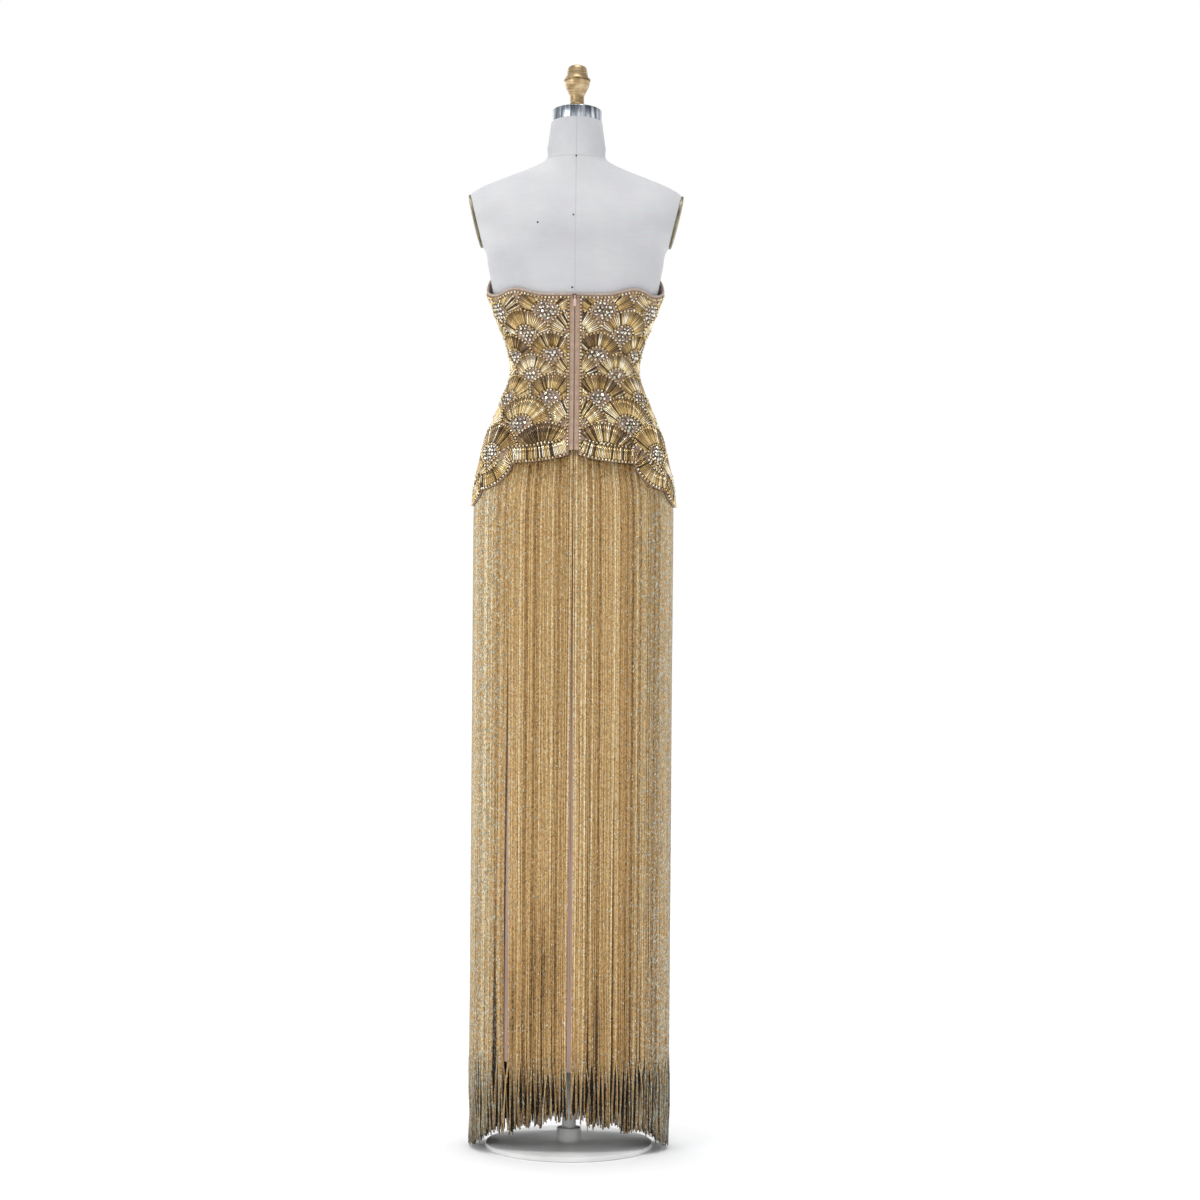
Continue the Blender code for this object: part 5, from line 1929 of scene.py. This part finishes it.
    # Painted shade: the inner layers are darker, the inner strands darker still below the hem, and all
    # strands darker toward the foot.
    depth_shade = 0.10 * (insets - LAYERS[0][0]) / 0.001
    shaded = np.where(outer, 0.06, 0.75)[:, None] * smooth_step((0.185 - heights) / 0.050)
    shaded += 0.16 * smooth_step((0.60 - heights) / 0.45)
    tone = np.clip(streaks[:, None] - depth_shade[:, None] - 0.35 * shade - shaded, -0.6, 1)
    facts = {
        "tone": tone[:, ring_of],
        "strand": (draws.random(count)[:, None] + 0 * tone)[:, ring_of],
        "fall": (heights[:, :1] - heights)[:, ring_of],
    }
    return joined_copies(name, template, points, facts)


def seed_beads():
    """Silver-lined seed beads: drawn glass tube, cut, tumbled and lined with foil. Each one,
    drawn 3 mm long, shows its own lot's gold, bronze or grey silver, with a rounded middle;
    the spread of bead tones is partly painted glints. Silver is commoner toward the foot,
    and more common toward the sides as a painted reflection. The strands' tone carries
    painted shade, and the foot is darkened with painted shade."""
    made, tree, shader = new_material(
        "silver_lined_seed_beads", {"Metallic": 0.55, "Coat Weight": 0.3, "Coat Roughness": 0.2}
    )
    tone = add_node(tree, "Attribute", {"attribute_name": "tone"}, {}).outputs["Fac"]
    strand = add_node(tree, "Attribute", {"attribute_name": "strand"}, {}).outputs["Fac"]
    fall = add_node(tree, "Attribute", {"attribute_name": "fall"}, {}).outputs["Fac"]
    bead = add_node(
        tree, "Math", {"operation": "MULTIPLY_ADD"}, {0: fall, 1: BEADS_A_METRE, 2: strand}
    )
    number = add_node(tree, "Math", {"operation": "FLOOR"}, {0: bead})
    key = add_node(tree, "CombineXYZ", {}, {"X": number, "Y": strand})
    lot = add_node(tree, "TexWhiteNoise", {"noise_dimensions": "3D"}, {"Vector": key})
    golden = add_node(tree, "Math", {"operation": "MULTIPLY"}, {0: tone, 1: 0.72})
    golden = add_node(
        tree,
        "Math",
        {"operation": "MULTIPLY_ADD", "use_clamp": True},
        {0: lot.outputs["Value"], 1: 0.42, 2: golden},
    )
    colour = add_node(
        tree,
        "ValToRGB",
        {
            "stops": (
                (0.00, "#5F4526"),
                (0.16, "#94713F"),
                (0.36, "#B28C54"),
                (0.56, "#C8A46D"),
                (0.74, "#DDBD84"),
                (0.90, "#EBD9AC"),
                (1.00, "#F4ECCF"),
            )
        },
        {"Fac": golden},
    )
    place = add_node(tree, "TexCoord", {}, {}).outputs["Object"]
    where = add_node(tree, "SeparateXYZ", {}, {"Vector": place})
    beside = add_node(tree, "Math", {"operation": "ABSOLUTE"}, {0: where.outputs["X"]})
    # Share of silver beads: a few everywhere, and more toward the sides as a painted reflection.
    silver_and_side_reflection = add_node(
        tree,
        "MapRange",
        {"interpolation_type": "SMOOTHSTEP"},
        {"Value": beside, "From Min": 0.085, "From Max": 0.180, "To Min": 0.03, "To Max": 0.40},
    )
    at_foot = add_node(
        tree, "MapRange", {}, {"Value": where.outputs["Z"], "From Min": 0.19, "From Max": 0.10}
    )
    share = add_node(
        tree, "Math", {"operation": "MULTIPLY_ADD"}, {0: at_foot, 1: 0.16, 2: silver_and_side_reflection}
    )
    other = add_node(tree, "SeparateColor", {}, {"Color": lot.outputs["Color"]})
    is_silver = add_node(
        tree, "Math", {"operation": "LESS_THAN"}, {0: other.outputs["Green"], 1: share}
    )
    silver = add_node(
        tree,
        "ValToRGB",
        {"stops": ((0.0, "#8A8C7E"), (0.5, "#B9B8A4"), (1.0, "#E4E1D0"))},
        {"Fac": other.outputs["Blue"]},
    )
    mixed = add_node(
        tree, "Mix", {"data_type": "RGBA"}, {"Factor": is_silver, "A": colour, "B": silver}
    )
    # Painted shade: strands with a low tone are darkened.
    painted_shade = add_node(
        tree, "MapRange", {}, {"Value": tone, "From Min": -0.6, "From Max": 0.1, "To Min": 0.20}
    )
    # Painted shade: darker toward the foot.
    foot_shade = add_node(tree, "MapRange", {}, {"Value": at_foot, "To Min": 1.0, "To Max": 0.72})
    painted_shade = add_node(tree, "Math", {"operation": "MULTIPLY"}, {0: painted_shade, 1: foot_shade})
    dim = add_node(
        tree,
        "Mix",
        {"data_type": "RGBA", "blend_type": "MULTIPLY"},
        {"Factor": 1.0, "A": mixed, "B": painted_shade},
    )
    middle = add_node(tree, "Math", {"operation": "FRACT"}, {0: bead})
    middle = add_node(tree, "Math", {"operation": "PINGPONG"}, {0: middle, 1: 0.5})
    relief = add_node(
        tree, "Bump", {}, {"Strength": 0.7, "Distance": 0.0005, "Height": middle}
    )
    rough = add_node(
        tree, "MapRange", {}, {"Value": other.outputs["Red"], "To Min": 0.22, "To Max": 0.5}
    )
    set_inputs(tree, shader, {"Base Color": dim, "Roughness": rough, "Normal": relief})
    return made


seed_finish = seed_beads()
FRINGES = (
    ("back_left", -side_girth, -0.0006, 11),
    ("back_right", 0.0006, side_girth, 12),
    ("front", side_girth, 2 * half_girth - side_girth, 13),
)
for word, first, last, seed in FRINGES:
    place_piece(
        fringe_strands(f"seed_bead_fringe_{word}", first, last, seed),
        f"seed_bead_fringe_{word}",
        seed_finish,
        [f"fringe_{word}"],
    )


# Studio: a matt white painted floor and a white surround, lit by soft boxes and from
# above, with the camera level behind the gown, where the photograph was taken.
FLOOR_RADIUS = 60.0
FLOOR_SIDES = 96
FLOOR_DROP = 0.0004
CAMERA_PLACE = (0.0486, -5.0, 0.983)
CAMERA_ROLL = math.radians(-0.45)
CAMERA_LENS = 83.3
SOFT_BOXES = (
    ("key", (-3.2, -3.0, 2.6), (1.6, 2.4), 42.0),
    ("fill", (3.2, -3.0, 1.6), (1.4, 2.6), 2.5),
    ("back", (-2.4, 3.6, 2.6), (1.6, 2.2), 22.0),
    ("side", (3.4, 2.6, 2.2), (1.4, 2.4), 5.0),
)
SOFT_BOX_AIM = Vector((0, 0, 1.1))
OVERHEAD_POWER = 2.1
OVERHEAD_SPREAD = math.radians(30)
SKY_STOPS = ((0.0, "#FFFFFF"), (0.24, "#FFFFFF"), (0.42, "#B4B6BA"), (1.0, "#8E9196"))


def floor_paint():
    """Matt white floor paint: rolled on, so it is even, with a faint stipple."""
    made, tree, shader = new_material("white_floor_paint", {"Specular IOR Level": 0.2})
    place = add_node(tree, "TexCoord", {}, {}).outputs["Object"]
    stipple = add_node(tree, "TexNoise", {}, {"Vector": place, "Scale": 300.0, "Detail": 2.0})
    tint = add_node(
        tree, "ValToRGB", {"stops": ((0.3, "#FAFAFA"), (0.7, "#FEFEFE"))}, {"Fac": stipple}
    )
    relief = add_node(
        tree, "Bump", {}, {"Strength": 0.05, "Distance": 0.0002, "Height": stipple}
    )
    rough = add_node(tree, "MapRange", {}, {"Value": stipple, "To Min": 0.85, "To Max": 0.95})
    set_inputs(tree, shader, {"Base Color": tint, "Roughness": rough, "Normal": relief})
    return made


def studio_floor():
    """A wide round floor, its top at the base's foot."""
    bm = bmesh.new()
    lowered = Matrix.Translation((0, 0, -FLOOR_DROP))
    bmesh.ops.create_circle(
        bm, cap_ends=True, segments=FLOOR_SIDES, radius=FLOOR_RADIUS, matrix=lowered
    )
    mesh = bpy.data.meshes.new("studio_floor")
    bm.to_mesh(mesh)
    bm.free()
    mesh.materials.append(floor_paint())
    floor = bpy.data.objects.new("studio_floor", mesh)
    bpy.context.scene.collection.objects.link(floor)


def surround():
    """A white surround that darkens overhead, so that polished pieces have something to
    reflect."""
    world = bpy.data.worlds.new("surround")
    bpy.context.scene.world = world
    world.use_nodes = True
    tree = world.node_tree
    place = add_node(tree, "TexCoord", {}, {}).outputs["Generated"]
    height = add_node(tree, "SeparateXYZ", {}, {"Vector": place}).outputs["Z"]
    shade = add_node(tree, "ValToRGB", {"stops": SKY_STOPS}, {"Fac": height})
    set_inputs(tree, tree.nodes["Background"], {"Color": shade, "Strength": 1.0})


def soft_box(name, place, size, power):
    """A rectangular soft box that faces the gown's middle."""
    light = bpy.data.lights.new(name, "AREA")
    light.shape = "RECTANGLE"
    light.size, light.size_y = size
    light.energy = power
    lamp = bpy.data.objects.new(name, light)
    lamp.location = place
    lamp.rotation_euler = (SOFT_BOX_AIM - Vector(place)).to_track_quat("-Z", "Y").to_euler()
    lamp.visible_camera = False
    bpy.context.scene.collection.objects.link(lamp)


def overhead_light():
    """A wide soft light from straight above, which keeps the floor white to its edge."""
    light = bpy.data.lights.new("overhead", "SUN")
    light.energy = OVERHEAD_POWER
    light.angle = OVERHEAD_SPREAD
    lamp = bpy.data.objects.new("overhead", light)
    bpy.context.scene.collection.objects.link(lamp)


studio_floor()
surround()
for name, place, size, power in SOFT_BOXES:
    soft_box(name, place, size, power)
overhead_light()
bpy.context.scene.view_settings.view_transform = "Standard"

camera_data = bpy.data.cameras.new("camera")
camera_data.lens = CAMERA_LENS
camera = bpy.data.objects.new("camera", camera_data)
camera.location = CAMERA_PLACE
camera.rotation_euler = (
    Matrix.Rotation(CAMERA_ROLL, 3, "Y") @ Matrix.Rotation(math.pi / 2, 3, "X")
).to_euler()
bpy.context.scene.collection.objects.link(camera)
bpy.context.scene.camera = camera
